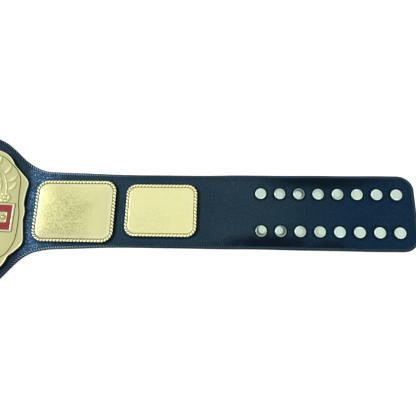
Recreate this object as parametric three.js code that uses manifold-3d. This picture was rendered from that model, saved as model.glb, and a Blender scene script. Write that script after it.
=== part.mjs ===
import * as THREE from 'three';
import { ConvexGeometry } from 'three/addons/geometries/ConvexGeometry.js';
import { mergeVertices } from 'three/addons/utils/BufferGeometryUtils.js';
import Module from 'manifold-3d';

// A championship belt lying face up. X runs along the strap, Y across it, Z up.
// Lengths are millimetres. The flat stretches of the strap lie on Z = 0.

// Leather strap
const strapLength = 1312;
const strapWidth = 101.8;
const strapThickness = 3;
const strapCornerRadius = 20;
const strapCornerSteps = 5;
const flareHeight = 226;
const archAngle = THREE.MathUtils.degToRad(11.5);
const archEase = 8.5;
const archFacets = 5;
const easeFacets = 3;
const liftFacets = 2;

// Clearances between neighbouring pieces
const seatGap = 0.3;
const enamelGap = 0.3;
const postGap = 0.4;
const holeSides = 6;
const unionSink = 0.4;

// Main plate
const plateWidth = 262;
const plateHeight = 208;
const plateThickness = 3.2;
const plateArcStep = THREE.MathUtils.degToRad(17);
const tierHeight = 1;
const tierSteps = 2;

// Round medallion at the middle of the main plate
const medallionRadius = 46;
const medallionRim = 4;
const medallionHeight = 1.6;
const medallionSides = 32;
const starTips = 5;
const starRadius = 34;
const starWaist = 0.42;
const starHeight = 2;

// Framed enamel cartouches towards the two ends of the main plate
const cartoucheLength = 48;
const cartoucheHeight = 39;
const cartoucheRim = 3.2;
const cartoucheRise = 1.2;
const cartoucheInset = 13;
const cartoucheDrop = 14;
const panelLength = 30;
const panelHeight = 14.4;
const panelSetBack = 5.2;
const enamelThickness = 0.6;
const panelBossRadius = 3.6;
const panelBossCount = 3;
const bossRise = 0.9;
const bossSides = 8;
const bossTopShare = 0.8;

// Rosettes and laurel leaves above the cartouches
const rosetteRadius = 7.2;
const rosetteRise = 2;
const rosetteInset = 29.5;
const rosetteGap = 1;
const rosetteSides = 12;
const leafLength = 17;
const leafWidth = 6.4;
const leafRise = 1.1;

// Side plates, with their rope borders
const plateGap = 11.2;
const sidePlateGap = 14.5;
const ropeWidth = 4;
const ropeHeight = 3.9;
const ropeNotch = 0.9;
const ropePitch = 4.7;
const ropeLean = 0.3;
const ropeWaist = 0.45;
const ropeUndercut = 0.25;
const ropeShoulder = 0.28;
const grooveWidth = 1.1;
const slabThickness = 1.7;
const faceHeight = 3;
const faceEdgeDrop = 0.2;
const crownSlope = 2;
const crownStart = 0.6;
const crownInset = 0.75;
const plateCornerSteps = 4;
const innerPlate = { name: 'inner', length: 113.3, height: 86.2, radius: 16, shift: -2, crown: 1.4 };
const outerPlate = { name: 'outer', length: 98.2, height: 72.7, radius: 14, shift: 0.2, crown: 0.4 };

// Snap fasteners at the two ends of the strap
const snapColumns = 8;
const snapPitch = 25.4;
const snapRowSpacing = 50.8;
const snapRowShift = -1;
const snapEndMargin = 24.2;
const capRadius = 7.5;
const capHeight = 2.2;
const capRim = 1.3;
const capShoulder = 0.8;
const capTuck = 0.4;
const capSides = 10;
const studSides = 7;
const postRadius = 2.2;
const socketRadius = 4.6;
const socketHeight = 2.4;
const studRadius = 2.3;
const studNeck = 1.8;
const studHeight = 3.2;
const studBaseRadius = 4.8;
const studBaseHeight = 0.9;
const backDiscRadius = 4.6;
const backDiscHeight = 0.8;
const liftMarginShare = 0.1;

const leather = new THREE.MeshStandardMaterial({ color: 0x233a4b, roughness: 0.45, metalness: 0 });
const gold = new THREE.MeshStandardMaterial({ color: 0xd9cd84, roughness: 0.32, metalness: 1 });
const enamel = new THREE.MeshStandardMaterial({ color: 0xb02b3a, roughness: 0.22, metalness: 0 });
const nickel = new THREE.MeshStandardMaterial({ color: 0xcdd4c6, roughness: 0.2, metalness: 1 });

const wasm = await Module();
wasm.setup();

// Places along the strap, measured from the middle of the belt
const halfLength = strapLength / 2;
const halfStrap = strapWidth / 2;
const plateHalfWidth = plateWidth / 2;
const plateHalfHeight = plateHeight / 2;
innerPlate.centre = plateHalfWidth + plateGap + innerPlate.length / 2;
outerPlate.centre = innerPlate.centre + innerPlate.length / 2 + sidePlateGap + outerPlate.length / 2;
const firstColumn = halfLength - snapEndMargin - (snapColumns - 1) * snapPitch;
const outerEnd = outerPlate.centre + outerPlate.length / 2;
const plainRun = firstColumn - capRadius - outerEnd;
const liftStart = outerEnd + liftMarginShare * plainRun;
const liftEnd = outerEnd + (1 - liftMarginShare) * plainRun;
const holeRadius = (postRadius + postGap) / Math.cos(Math.PI / holeSides);

// The strap's course as seen from its edge: arcs and straights from the middle to one end.
// The arch carries the curved main plate, and the lift clears the fasteners below the strap.
function course(liftHeight) {
  const liftRun = liftEnd - liftStart;
  const liftAngle = 2 * Math.atan(liftHeight / liftRun);
  const liftHalf = (liftRun * liftAngle) / (2 * Math.sin(liftAngle));
  const stretches = [
    { length: plateHalfWidth, turn: -archAngle, facets: archFacets },
    { length: archEase, turn: archAngle, facets: easeFacets },
    { length: liftStart - plateHalfWidth - archEase, turn: 0, facets: 1 },
    { length: liftHalf, turn: liftAngle, facets: liftFacets },
    { length: liftHalf, turn: -liftAngle, facets: liftFacets },
    { length: halfLength - liftEnd + strapWidth, turn: 0, facets: 1 },
  ];
  let start = { s: 0, x: 0, z: 0, angle: 0 };
  const stations = [];
  for (const stretch of stretches) {
    stretch.start = start;
    for (let i = 1; i <= stretch.facets; i++) {
      stations.push(start.s + (stretch.length * i) / stretch.facets);
    }
    start = alongStretch(stretch, stretch.length);
  }
  const floor = stretches[2].start.z;
  stations.pop();
  return { stretches, stations, floor };
}

function alongStretch({ start, length, turn }, distance) {
  const angle = start.angle + (turn * distance) / length;
  if (turn === 0) {
    const x = start.x + distance * Math.cos(angle);
    const z = start.z + distance * Math.sin(angle);
    return { s: start.s + distance, x, z, angle };
  }
  const radius = length / turn;
  const x = start.x + radius * (Math.sin(angle) - Math.sin(start.angle));
  const z = start.z - radius * (Math.cos(angle) - Math.cos(start.angle));
  return { s: start.s + distance, x, z, angle };
}

const rightCourse = course(socketHeight + seatGap);
const leftCourse = course(backDiscHeight + seatGap);

// The point of the strap's underside at a signed distance s from the middle
function courseAt(s) {
  const { stretches, floor } = s < 0 ? leftCourse : rightCourse;
  const distance = Math.abs(s);
  const stretch = stretches.findLast((one) => one.start.s <= distance);
  const { x, z, angle } = alongStretch(stretch, distance - stretch.start.s);
  const side = s < 0 ? -1 : 1;
  return { x: side * x, z: z - floor, angle: side * angle };
}

// A point this close to a station counts as lying on it
const onStation = 0.02;
const bendStations = [0, ...rightCourse.stations, ...leftCourse.stations.map((s) => -s)];

// Solids and meshes
function positionsOnly(geometry) {
  const bare = new THREE.BufferGeometry();
  bare.setAttribute('position', geometry.getAttribute('position').clone());
  if (geometry.index) bare.setIndex(geometry.index.clone());
  return mergeVertices(bare);
}

function solid(geometry) {
  const bare = positionsOnly(geometry);
  const corners = [...bare.index.array];
  const kept = [];
  for (let i = 0; i < corners.length; i += 3) {
    const [a, b, c] = corners.slice(i, i + 3);
    if (a !== b && b !== c && c !== a) kept.push(a, b, c);
  }
  const vertProperties = new Float32Array(bare.getAttribute('position').array);
  const triVerts = new Uint32Array(kept);
  return new wasm.Manifold(new wasm.Mesh({ numProp: 3, vertProperties, triVerts }));
}

function solidPoints(body) {
  const mesh = body.getMesh();
  const points = [];
  for (let i = 0; i < mesh.vertProperties.length; i += mesh.numProp) {
    points.push(new THREE.Vector3(...mesh.vertProperties.slice(i, i + 3)));
  }
  const faces = [];
  for (let i = 0; i < mesh.triVerts.length; i += 3) faces.push([...mesh.triVerts.slice(i, i + 3)]);
  return { points, faces };
}

function meshGeometry(points, faces) {
  const geometry = new THREE.BufferGeometry().setFromPoints(points);
  geometry.setIndex(faces.flat());
  geometry.computeVertexNormals();
  return geometry;
}

// Splits every triangle that crosses a bend station, so that a flat shape can follow the course
function sliceAtStations({ points, faces }) {
  let pieces = faces;
  for (const station of bendStations) {
    const cuts = new Map();
    const side = (i) => {
      const distance = points[i].x - station;
      return Math.abs(distance) < onStation ? 0 : Math.sign(distance);
    };
    const cut = (i, j) => {
      const key = i < j ? `${i}_${j}` : `${j}_${i}`;
      if (!cuts.has(key)) {
        const [from, to] = i < j ? [points[i], points[j]] : [points[j], points[i]];
        const share = (station - from.x) / (to.x - from.x);
        cuts.set(key, points.push(from.clone().lerp(to, share)) - 1);
      }
      return cuts.get(key);
    };
    const next = [];
    for (const face of pieces) {
      const sides = face.map(side);
      if (!sides.includes(1) || !sides.includes(-1)) {
        next.push(face);
        continue;
      }
      for (const wanted of [1, -1]) {
        const outline = [];
        for (let k = 0; k < 3; k++) {
          const [here, there] = [face[k], face[(k + 1) % 3]];
          const [hereSide, thereSide] = [sides[k], sides[(k + 1) % 3]];
          if (hereSide === wanted || hereSide === 0) outline.push(here);
          if (hereSide * thereSide < 0) outline.push(cut(here, there));
        }
        for (let k = 2; k < outline.length; k++) next.push([outline[0], outline[k - 1], outline[k]]);
      }
    }
    pieces = next;
  }
  return { points, faces: pieces };
}

// Bends a flat shape along the course. Its own X is the distance along the strap and
// its own Z the height above the strap's underside.
function bend({ points, faces }) {
  for (const point of points) {
    const { x, z, angle } = courseAt(point.x);
    point.set(x - point.z * Math.sin(angle), point.y, z + point.z * Math.cos(angle));
  }
  return meshGeometry(points, faces);
}

function bendWide(body) {
  return bend(sliceAtStations(solidPoints(body)));
}

function bendSmall(body) {
  return bend(solidPoints(body));
}

// A bent slab whose outline crosses each bend station once above and once below the axis.
// Its faces are cut along the stations before they are divided into triangles.
function bentSlab(outline, bottom, height, holes = []) {
  const crossed = (a, b) => bendStations
    .filter((s) => (a.x - s) * (b.x - s) < 0 && Math.min(Math.abs(a.x - s), Math.abs(b.x - s)) > onStation)
    .sort((s, t) => Math.abs(s - a.x) - Math.abs(t - a.x))
    .map((s) => a.clone().lerp(b, (s - a.x) / (b.x - a.x)));
  const rim = outline.flatMap((a, i) => [a, ...crossed(a, outline[(i + 1) % outline.length])]);
  const loops = [rim, ...holes];
  const flat = loops.flat();
  const points = [bottom, bottom + height].flatMap((z) => flat.map(({ x, y }) => new THREE.Vector3(x, y, z)));
  const faces = [];
  const indexOf = new Map(flat.map((point, i) => [point, i]));
  const limits = [-Infinity, ...bendStations.toSorted((s, t) => s - t), Infinity];
  for (let i = 1; i < limits.length; i++) {
    const inside = ({ x }) => x > limits[i - 1] - onStation && x < limits[i] + onStation;
    const contour = rim.filter(inside);
    if (contour.length < 3) continue;
    const bandHoles = holes.filter((hole) => hole.every(inside));
    const members = [contour, ...bandHoles].flat().map((point) => indexOf.get(point));
    const triangles = THREE.ShapeUtils.triangulateShape(contour, bandHoles)
      .map((triangle) => triangle.map((k) => members[k]));
    const area = triangles.reduce((sum, one) => sum + THREE.ShapeUtils.area(one.map((i) => flat[i])), 0);
    for (const triangle of triangles) {
      const upward = area > 0 ? triangle : triangle.toReversed();
      faces.push(upward.map((i) => i + flat.length), upward.toReversed());
    }
  }
  loops.forEach((loop, k) => {
    const ordered = THREE.ShapeUtils.isClockWise(loop) === (k === 0) ? loop.toReversed() : loop;
    ordered.forEach((point, i) => {
      const [a, b] = [indexOf.get(point), indexOf.get(ordered[(i + 1) % ordered.length])];
      faces.push([a, b, b + flat.length], [a, b + flat.length, a + flat.length]);
    });
  });
  return bend({ points, faces });
}

function prism(points, bottom, height, holes = []) {
  const shape = new THREE.Shape(points);
  shape.holes = holes.map((hole) => new THREE.Path(hole));
  const geometry = new THREE.ExtrudeGeometry(shape, { depth: height, bevelEnabled: false });
  geometry.translate(0, 0, bottom);
  return solid(geometry);
}

// A turned solid from [radius, height] pairs that run from the bottom to the top
function turned(profile, sides) {
  const geometry = new THREE.LatheGeometry(profile.map(([r, z]) => new THREE.Vector2(r, z)), sides);
  geometry.rotateX(Math.PI / 2);
  return geometry;
}

function ring(radius, sides, x = 0, y = 0) {
  const points = [];
  for (let i = 0; i < sides; i++) {
    const angle = (2 * Math.PI * i) / sides;
    points.push(new THREE.Vector2(x + radius * Math.cos(angle), y + radius * Math.sin(angle)));
  }
  return points;
}

function rectangle(x, y, length, height) {
  const [a, b] = [length / 2, height / 2];
  const corners = [[-a, -b], [a, -b], [a, b], [-a, b]];
  return corners.map(([dx, dy]) => new THREE.Vector2(x + dx, y + dy));
}

function mirrored(points) {
  return points.map((point) => new THREE.Vector2(-point.x, point.y)).reverse();
}

// Strap outline. Each row is a place along the flare, as a share of the main plate's half
// width, with how far the leather spreads above and below the belt's axis: 0 at the plain
// strap's edge, 1 at the full flare.
const flareRows = [
  { along: 0, above: 1, below: 1 },
  { along: 0.3, above: 0.989, below: 1 },
  { along: 0.47, above: 0.92, below: 0.993 },
  { along: 0.61, above: 0.8, below: 0.962 },
  { along: 0.7, above: 0.705, below: 0.905 },
  { along: 0.8, above: 0.534, below: 0.784 },
  { along: 0.845, above: 0.447, below: 0.686 },
  { along: 0.893, above: 0.354, below: 0.556 },
  { along: 0.94, above: 0.279, below: 0.434 },
  { along: 0.985, above: 0.217, below: 0.326 },
  { along: 1.04, above: 0.158, below: 0.23 },
  { along: 1.115, above: 0.097, below: 0.15 },
  { along: 1.19, above: 0.068, below: 0.11 },
  { along: 1.29, above: 0.059, below: 0.077 },
  { along: 1.41, above: 0.05, below: 0.06 },
  { along: 1.57, above: 0.038, below: 0.046 },
  { along: 1.84, above: 0.019, below: 0.021 },
  { along: 2.2, above: 0.005, below: 0.003 },
  { along: 2.5, above: 0, below: 0 },
];

function strapOutline() {
  const spread = flareHeight / 2 - halfStrap;
  const edge = (column, side) => flareRows.map((row) => {
    const y = halfStrap + row[column] * spread;
    return new THREE.Vector2(row.along * plateHalfWidth, side * y);
  });
  const corner = (side) => {
    const points = [];
    for (let i = 0; i <= strapCornerSteps; i++) {
      const angle = (Math.PI / 2) * (i / strapCornerSteps);
      const x = halfLength - strapCornerRadius + strapCornerRadius * Math.sin(angle);
      const y = halfStrap - strapCornerRadius + strapCornerRadius * Math.cos(angle);
      points.push(new THREE.Vector2(x, side * y));
    }
    return points;
  };
  const upper = [...edge('above', 1), ...corner(1)];
  const rightHalf = [...edge('below', -1), ...corner(-1), ...upper.reverse()];
  return [...rightHalf, ...mirrored(rightHalf).slice(1, -1)];
}

function snapPlaces() {
  const places = [];
  for (const side of ['right', 'left']) {
    for (const row of ['upper', 'lower']) {
      for (let column = 0; column < snapColumns; column++) {
        const s = (side === 'right' ? 1 : -1) * (firstColumn + column * snapPitch);
        const y = snapRowShift + (row === 'upper' ? 0.5 : -0.5) * snapRowSpacing;
        places.push({ side, name: `${side}_${row}_${column + 1}`, s, y });
      }
    }
  }
  return places;
}

function strap() {
  const holes = snapPlaces().map(({ s, y }) => ring(holeRadius, holeSides, s, y));
  return new THREE.Mesh(bentSlab(strapOutline(), 0, strapThickness, holes), leather);
}

// Main plate outline, right half, clockwise from the top. Each row is the end of an arc, as
// shares of the plate's half width and half height, with the arc's bulge as a share of its chord.
const plateArcs = [
  { x: 0.35, y: 0.945, bulge: 0.04 },
  { x: 0.55, y: 0.8, bulge: 0.14 },
  { x: 0.812, y: 0.6, bulge: 0.17 },
  { x: 0.955, y: 0.41, bulge: 0 },
  { x: 0.975, y: 0.288, bulge: 0.13 },
  { x: 0.961, y: 0.055, bulge: -0.02 },
  { x: 0.974, y: -0.14, bulge: 0.09 },
  { x: 1, y: -0.375, bulge: 0 },
  { x: 0.962, y: -0.535, bulge: 0.15 },
  { x: 0.878, y: -0.635, bulge: 0.03 },
  { x: 0.67, y: -0.885, bulge: 0.16 },
  { x: 0.38, y: -0.95, bulge: 0.12 },
  { x: 0, y: -1, bulge: 0.03 },
];

function plateOutline() {
  const points = [new THREE.Vector2(0, plateHalfHeight)];
  for (const { x, y, bulge } of plateArcs) {
    const from = points.at(-1);
    const to = new THREE.Vector2(x * plateHalfWidth, y * plateHalfHeight);
    const halfTurn = 2 * Math.atan(2 * bulge);
    const count = Math.max(1, Math.ceil(Math.abs(2 * halfTurn) / plateArcStep));
    const chord = to.clone().sub(from);
    const outward = new THREE.Vector2(-chord.y, chord.x);
    for (let i = 1; i <= count; i++) {
      const turn = halfTurn * ((2 * i) / count - 1);
      const along = bulge === 0 ? i / count : 0.5 + Math.sin(turn) / (2 * Math.sin(halfTurn));
      const out = bulge === 0 ? 0 : (Math.cos(turn) - Math.cos(halfTurn)) / (2 * Math.sin(halfTurn));
      points.push(from.clone().addScaledVector(chord, along).addScaledVector(outward, out));
    }
  }
  const rightHalf = points.reverse();
  return [...rightHalf, ...mirrored(rightHalf).slice(1, -1)];
}

// Edge of the raised tier, right half, from the top, as shares of the plate's half sizes
const tierRows = [
  { x: 0, y: 0.9 },
  { x: 0.34, y: 0.86 },
  { x: 0.66, y: 0.715 },
  { x: 0.775, y: 0.62 },
  { x: 0.87, y: 0.5 },
  { x: 0.912, y: 0.37 },
  { x: 0.916, y: 0.19 },
  { x: 0.927, y: 0.035 },
  { x: 0.943, y: -0.1 },
  { x: 0.948, y: -0.37 },
  { x: 0.91, y: -0.52 },
  { x: 0.83, y: -0.645 },
  { x: 0.6, y: -0.8 },
  { x: 0.3, y: -0.885 },
  { x: 0, y: -0.91 },
];

function tierOutline() {
  const knots = tierRows.map(({ x, y }) => new THREE.Vector2(x * plateHalfWidth, y * plateHalfHeight));
  const rightHalf = new THREE.SplineCurve(knots).getPoints(tierSteps * (knots.length - 1)).reverse();
  return [...rightHalf, ...mirrored(rightHalf).slice(1, -1)];
}

const plateBottom = strapThickness + seatGap;
const tierTop = plateBottom + plateThickness + tierHeight;
const reliefBottom = tierTop - unionSink;

function place(body, x, y) {
  return body.translate([x, y, 0]);
}

function medallion() {
  const outer = ring(medallionRadius, medallionSides);
  const inner = ring(medallionRadius - medallionRim, medallionSides);
  const rim = prism(outer, reliefBottom, unionSink + medallionHeight, [inner]);
  const points = [];
  for (let i = 0; i < 2 * starTips; i++) {
    const angle = Math.PI / 2 + (Math.PI * i) / starTips;
    const radius = starRadius * (i % 2 === 0 ? 1 : starWaist);
    points.push(new THREE.Vector3(radius * Math.cos(angle), radius * Math.sin(angle), reliefBottom));
  }
  const top = new THREE.Vector3(0, 0, tierTop + starHeight);
  const bottom = new THREE.Vector3(0, 0, reliefBottom - unionSink);
  const faces = points.flatMap((_, i) => {
    const next = (i + 1) % points.length;
    return [[i, next, points.length], [next, i, points.length + 1]];
  });
  return rim.add(solid(meshGeometry([...points, top, bottom], faces)));
}

// Middle of a cartouche and of its inner panel, on the right half
const cartouche = {
  x: plateHalfWidth - cartoucheInset - cartoucheLength / 2,
  y: -cartoucheDrop,
};
const panelX = cartouche.x + cartoucheLength / 2 - cartoucheRim - panelSetBack - panelLength / 2;

function cartoucheRelief() {
  const { x, y } = cartouche;
  const well = rectangle(x, y, cartoucheLength - 2 * cartoucheRim, cartoucheHeight - 2 * cartoucheRim);
  const height = unionSink + cartoucheRise;
  let body = prism(rectangle(x, y, cartoucheLength, cartoucheHeight), reliefBottom, height, [well]);
  body = body.add(prism(rectangle(panelX, y, panelLength, panelHeight), reliefBottom, height));
  const panelTop = tierTop + cartoucheRise;
  const bossStep = panelLength / panelBossCount;
  for (let i = 0; i < panelBossCount; i++) {
    const boss = solid(turned([
      [0, panelTop - unionSink],
      [panelBossRadius, panelTop - unionSink],
      [panelBossRadius * bossTopShare, panelTop + bossRise],
      [0, panelTop + bossRise],
    ], bossSides));
    body = body.add(place(boss, panelX + (i - (panelBossCount - 1) / 2) * bossStep, y));
  }
  return body;
}

// Rosette profile from its rim to its middle, as shares of its radius and rise
const rosetteRows = [
  { out: 1, up: 0.5 },
  { out: 0.75, up: 0.75 },
  { out: 0.4, up: 0.6 },
  { out: 0.28, up: 1 },
  { out: 0, up: 1 },
];

function rosette() {
  const profile = rosetteRows.map(({ out, up }) => [out * rosetteRadius, tierTop + up * rosetteRise]);
  const body = solid(turned([[0, reliefBottom], [rosetteRadius, reliefBottom], ...profile], rosetteSides));
  return place(body, rosetteCentre.x, rosetteCentre.y);
}

const rosetteCentre = {
  x: plateHalfWidth - rosetteInset,
  y: cartouche.y + cartoucheHeight / 2 + rosetteRadius + rosetteGap,
};

// Leaf edge and midrib, as shares of the leaf's length, half width and rise
const leafEdge = [
  { along: 0, out: 0.12 },
  { along: 0.2, out: 0.7 },
  { along: 0.45, out: 1 },
  { along: 0.75, out: 0.68 },
  { along: 1, out: 0.06 },
];
const leafRib = [
  { along: 0.12, up: 0.7 },
  { along: 0.45, up: 1 },
  { along: 0.85, up: 0.7 },
];

// A leaf with a raised midrib, from its stalk end at the origin along X
function leaf() {
  const [length, half] = [leafLength, leafWidth / 2];
  return new ConvexGeometry([
    ...leafEdge.flatMap(({ along, out }) => [1, -1].map((side) =>
      new THREE.Vector3(along * length, side * out * half, reliefBottom))),
    ...leafRib.map(({ along, up }) => new THREE.Vector3(along * length, 0, tierTop + up * leafRise)),
  ]);
}

// Laurel leaves of the right half: the stalk's place on the plate, in shares of its half
// sizes, and the leaf's direction in degrees
const leafRows = [
  { x: 0.8, y: 0.225, turn: 60 },
  { x: 0.72, y: 0.25, turn: 100 },
  { x: 0.785, y: 0.34, turn: 52 },
  { x: 0.7, y: 0.38, turn: 112 },
  { x: 0.73, y: 0.45, turn: 62 },
  { x: 0.61, y: 0.49, turn: 125 },
  { x: 0.64, y: 0.56, turn: 75 },
  { x: 0.52, y: 0.59, turn: 140 },
  { x: 0.54, y: 0.66, turn: 98 },
];

function laurel() {
  return leafRows.map(({ x, y, turn }) => {
    const geometry = leaf();
    geometry.rotateZ(THREE.MathUtils.degToRad(turn));
    return place(solid(geometry), x * plateHalfWidth, y * plateHalfHeight);
  });
}

function mainPlate() {
  const base = bentSlab(plateOutline(), plateBottom, plateThickness);
  const tierBottom = plateBottom + plateThickness - unionSink;
  const tier = bentSlab(tierOutline(), tierBottom, tierTop - tierBottom);
  const small = [rosette(), ...laurel()];
  const relief = [
    ...[medallion(), cartoucheRelief(), cartoucheRelief().mirror([1, 0, 0])].map(bendWide),
    ...[...small, ...small.map((one) => one.mirror([1, 0, 0]))].map(bendSmall),
  ];
  const { points, faces } = solidPoints(wasm.Manifold.union([base, tier, ...relief].map(solid)));
  return new THREE.Mesh(meshGeometry(points, faces), gold);
}

// The red enamel lies between a cartouche's rim and its panel
function enamelField(side) {
  const { x, y } = cartouche;
  const clear = 2 * enamelGap;
  const wellLength = cartoucheLength - 2 * cartoucheRim;
  const wellHeight = cartoucheHeight - 2 * cartoucheRim;
  const outline = rectangle(side * x, y, wellLength - clear, wellHeight - clear);
  const island = rectangle(side * panelX, y, panelLength + clear, panelHeight + clear);
  const field = prism(outline, tierTop + enamelGap, enamelThickness, [island]);
  return new THREE.Mesh(bendWide(field), enamel);
}

// A point and outward direction on a side plate's outline, u going once round from 0 to 1
function outlineAt(plate, u) {
  const { length, height, radius } = plate;
  const straights = [height - 2 * radius, length - 2 * radius];
  const arc = (Math.PI / 2) * radius;
  const whole = 2 * (straights[0] + straights[1]) + 4 * arc;
  let rest = (((u % 1) + 1) % 1) * whole;
  for (let side = 0; side < 4; side++) {
    const straight = straights[side % 2];
    const facing = (side * Math.PI) / 2;
    const reach = (side % 2 === 0 ? length : height) / 2;
    const turnTo = new THREE.Vector2(Math.cos(facing), Math.sin(facing));
    const travel = new THREE.Vector2(-turnTo.y, turnTo.x);
    if (rest <= straight) {
      const point = turnTo.clone().multiplyScalar(reach).addScaledVector(travel, rest - straight / 2);
      return { point, outward: turnTo };
    }
    rest -= straight;
    if (rest <= arc) {
      const outward = turnTo.clone().rotateAround(new THREE.Vector2(), rest / radius);
      const centre = turnTo.clone().multiplyScalar(reach - radius).addScaledVector(travel, straight / 2);
      return { point: centre.addScaledVector(outward, radius), outward };
    }
    rest -= arc;
  }
  return outlineAt(plate, 0);
}

function outlineLength({ length, height, radius }) {
  return 2 * (length + height - 4 * radius) + 2 * Math.PI * radius;
}

// Few places round a side plate, enough for its straight sides and round corners
function cornerPlaces(plate) {
  const whole = outlineLength(plate);
  const straights = [plate.height - 2 * plate.radius, plate.length - 2 * plate.radius];
  const arc = (Math.PI / 2) * plate.radius;
  const places = [];
  let travelled = 0;
  for (let side = 0; side < 4; side++) {
    travelled += straights[side % 2];
    for (let i = 0; i <= plateCornerSteps; i++) {
      places.push((travelled + (arc * i) / plateCornerSteps) / whole);
    }
    travelled += arc;
  }
  return places.map((place) => Math.min(place, 1 - Number.EPSILON));
}

// Closed solid from stacked rings of points that run the same way round
class RingStack {
  points = [];
  faces = [];

  ring(plate, places, inset, height) {
    const start = this.points.length;
    const members = places.map((u, i) => {
      const { point, outward } = outlineAt(plate, u);
      point.addScaledVector(outward, -inset(i));
      this.points.push(new THREE.Vector3(point.x, point.y, height(i)));
      return { index: start + i, u };
    });
    if (this.last) this.bridge(this.last, members);
    else this.cap(members, true);
    this.last = members;
  }

  bridge(lower, upper) {
    let i = 0;
    let j = 0;
    const at = (members, k) => members[k % members.length];
    const placeOf = (members, k) => at(members, k).u + Math.floor(k / members.length);
    while (i < lower.length || j < upper.length) {
      const lowerNext = i < lower.length ? placeOf(lower, i + 1) : Infinity;
      const upperNext = j < upper.length ? placeOf(upper, j + 1) : Infinity;
      if (lowerNext <= upperNext) {
        this.faces.push([at(lower, i).index, at(lower, i + 1).index, at(upper, j).index]);
        i++;
      } else {
        this.faces.push([at(lower, i).index, at(upper, j + 1).index, at(upper, j).index]);
        j++;
      }
    }
  }

  cap(members, facesDown) {
    const height = this.points[members[0].index].z;
    const centre = this.points.push(new THREE.Vector3(0, 0, height)) - 1;
    members.forEach(({ index }, i) => {
      const next = members[(i + 1) % members.length].index;
      this.faces.push(facesDown ? [next, index, centre] : [index, next, centre]);
    });
  }

  geometry() {
    this.cap(this.last, false);
    return meshGeometry(this.points, this.faces);
  }
}

// Each strand of the rope has one crest and one notch, and leans along the border
function sidePlate(plate) {
  const corners = cornerPlaces(plate);
  const strands = Math.round(outlineLength(plate) / ropePitch);
  const rope = (lean) => Array.from({ length: 2 * strands }, (_, i) => (i / 2 + ropeLean + lean) / strands);
  const crest = (i) => ropeHeight - (i % 2 === 0 ? 0 : ropeNotch);
  const level = (value) => () => value;
  const faceInset = ropeWidth + grooveWidth;
  const stack = new RingStack();
  stack.ring(plate, corners, level(ropeUndercut * ropeWidth), level(0));
  stack.ring(plate, corners, level(0), level(ropeWaist * ropeHeight));
  stack.ring(plate, rope(ropeLean), level(ropeShoulder * ropeWidth), crest);
  stack.ring(plate, rope(-ropeLean), level((1 - ropeShoulder) * ropeWidth), crest);
  stack.ring(plate, corners, level(ropeWidth), level(slabThickness));
  stack.ring(plate, corners, level(faceInset), level(faceHeight - faceEdgeDrop));
  const crownFoot = faceInset + crownSlope * plate.crown;
  stack.ring(plate, corners, level(crownFoot), level(faceHeight + crownStart * plate.crown));
  stack.ring(plate, corners, level(crownInset * plate.radius), level(faceHeight + plate.crown));
  return stack.geometry();
}

function capAndSocket() {
  const below = -strapThickness - seatGap;
  return turned([
    [0, below - socketHeight],
    [socketRadius, below - socketHeight],
    [socketRadius, below],
    [postRadius, below],
    [postRadius, seatGap],
    [capRadius - capTuck, seatGap],
    [capRadius, seatGap + capHeight - capShoulder],
    [capRadius - capRim, seatGap + capHeight],
    [0, seatGap + capHeight],
  ], capSides);
}

function studAndBack() {
  const below = -strapThickness - seatGap;
  return turned([
    [0, below - backDiscHeight],
    [backDiscRadius, below - backDiscHeight],
    [postRadius, below],
    [postRadius, seatGap],
    [studBaseRadius, seatGap],
    [studNeck, seatGap + studBaseHeight],
    [studRadius, seatGap + studHeight],
    [0, seatGap + studHeight],
  ], studSides);
}

function named(name, mesh) {
  mesh.name = name;
  return mesh;
}

function belt() {
  const group = new THREE.Group();
  group.name = 'championship_belt';
  group.add(named('strap', strap()));
  group.add(named('main_plate', mainPlate()));
  group.add(named('enamel_right', enamelField(1)));
  group.add(named('enamel_left', enamelField(-1)));
  for (const plate of [innerPlate, outerPlate]) {
    for (const [side, sign] of [['right', 1], ['left', -1]]) {
      const mesh = named(`side_plate_${side}_${plate.name}`, new THREE.Mesh(sidePlate(plate), gold));
      const { x, z } = courseAt(sign * plate.centre);
      mesh.position.set(x, plate.shift, z + strapThickness + seatGap);
      group.add(mesh);
    }
  }
  const snapShapes = { right: capAndSocket(), left: studAndBack() };
  const snapNames = { right: 'snap_cap', left: 'snap_stud' };
  for (const { side, name, s, y } of snapPlaces()) {
    const mesh = named(`${snapNames[side]}_${name}`, new THREE.Mesh(snapShapes[side], nickel));
    const { x, z } = courseAt(s);
    mesh.position.set(x, y, z + strapThickness);
    group.add(mesh);
  }
  group.updateMatrixWorld(true);
  return group;
}

export default belt();
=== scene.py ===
import math

import bmesh
import bpy
import numpy as np
from mathutils import Matrix, Vector
from mathutils.geometry import delaunay_2d_cdt


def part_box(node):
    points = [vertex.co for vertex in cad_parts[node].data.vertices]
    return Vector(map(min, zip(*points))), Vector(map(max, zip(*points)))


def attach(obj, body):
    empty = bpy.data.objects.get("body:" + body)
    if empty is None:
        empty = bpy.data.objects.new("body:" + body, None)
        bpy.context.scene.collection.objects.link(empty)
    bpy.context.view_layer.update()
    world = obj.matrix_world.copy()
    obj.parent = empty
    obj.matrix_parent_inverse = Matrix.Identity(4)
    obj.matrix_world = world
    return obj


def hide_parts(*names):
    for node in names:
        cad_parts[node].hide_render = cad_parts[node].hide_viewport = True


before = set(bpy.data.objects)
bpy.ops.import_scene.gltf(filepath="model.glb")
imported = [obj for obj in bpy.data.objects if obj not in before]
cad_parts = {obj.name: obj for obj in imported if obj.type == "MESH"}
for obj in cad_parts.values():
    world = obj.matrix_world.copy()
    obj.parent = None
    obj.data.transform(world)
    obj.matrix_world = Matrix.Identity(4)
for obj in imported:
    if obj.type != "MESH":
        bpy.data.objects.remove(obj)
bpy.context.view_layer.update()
print("frame loaded with", len(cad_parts), "nodes")

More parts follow.
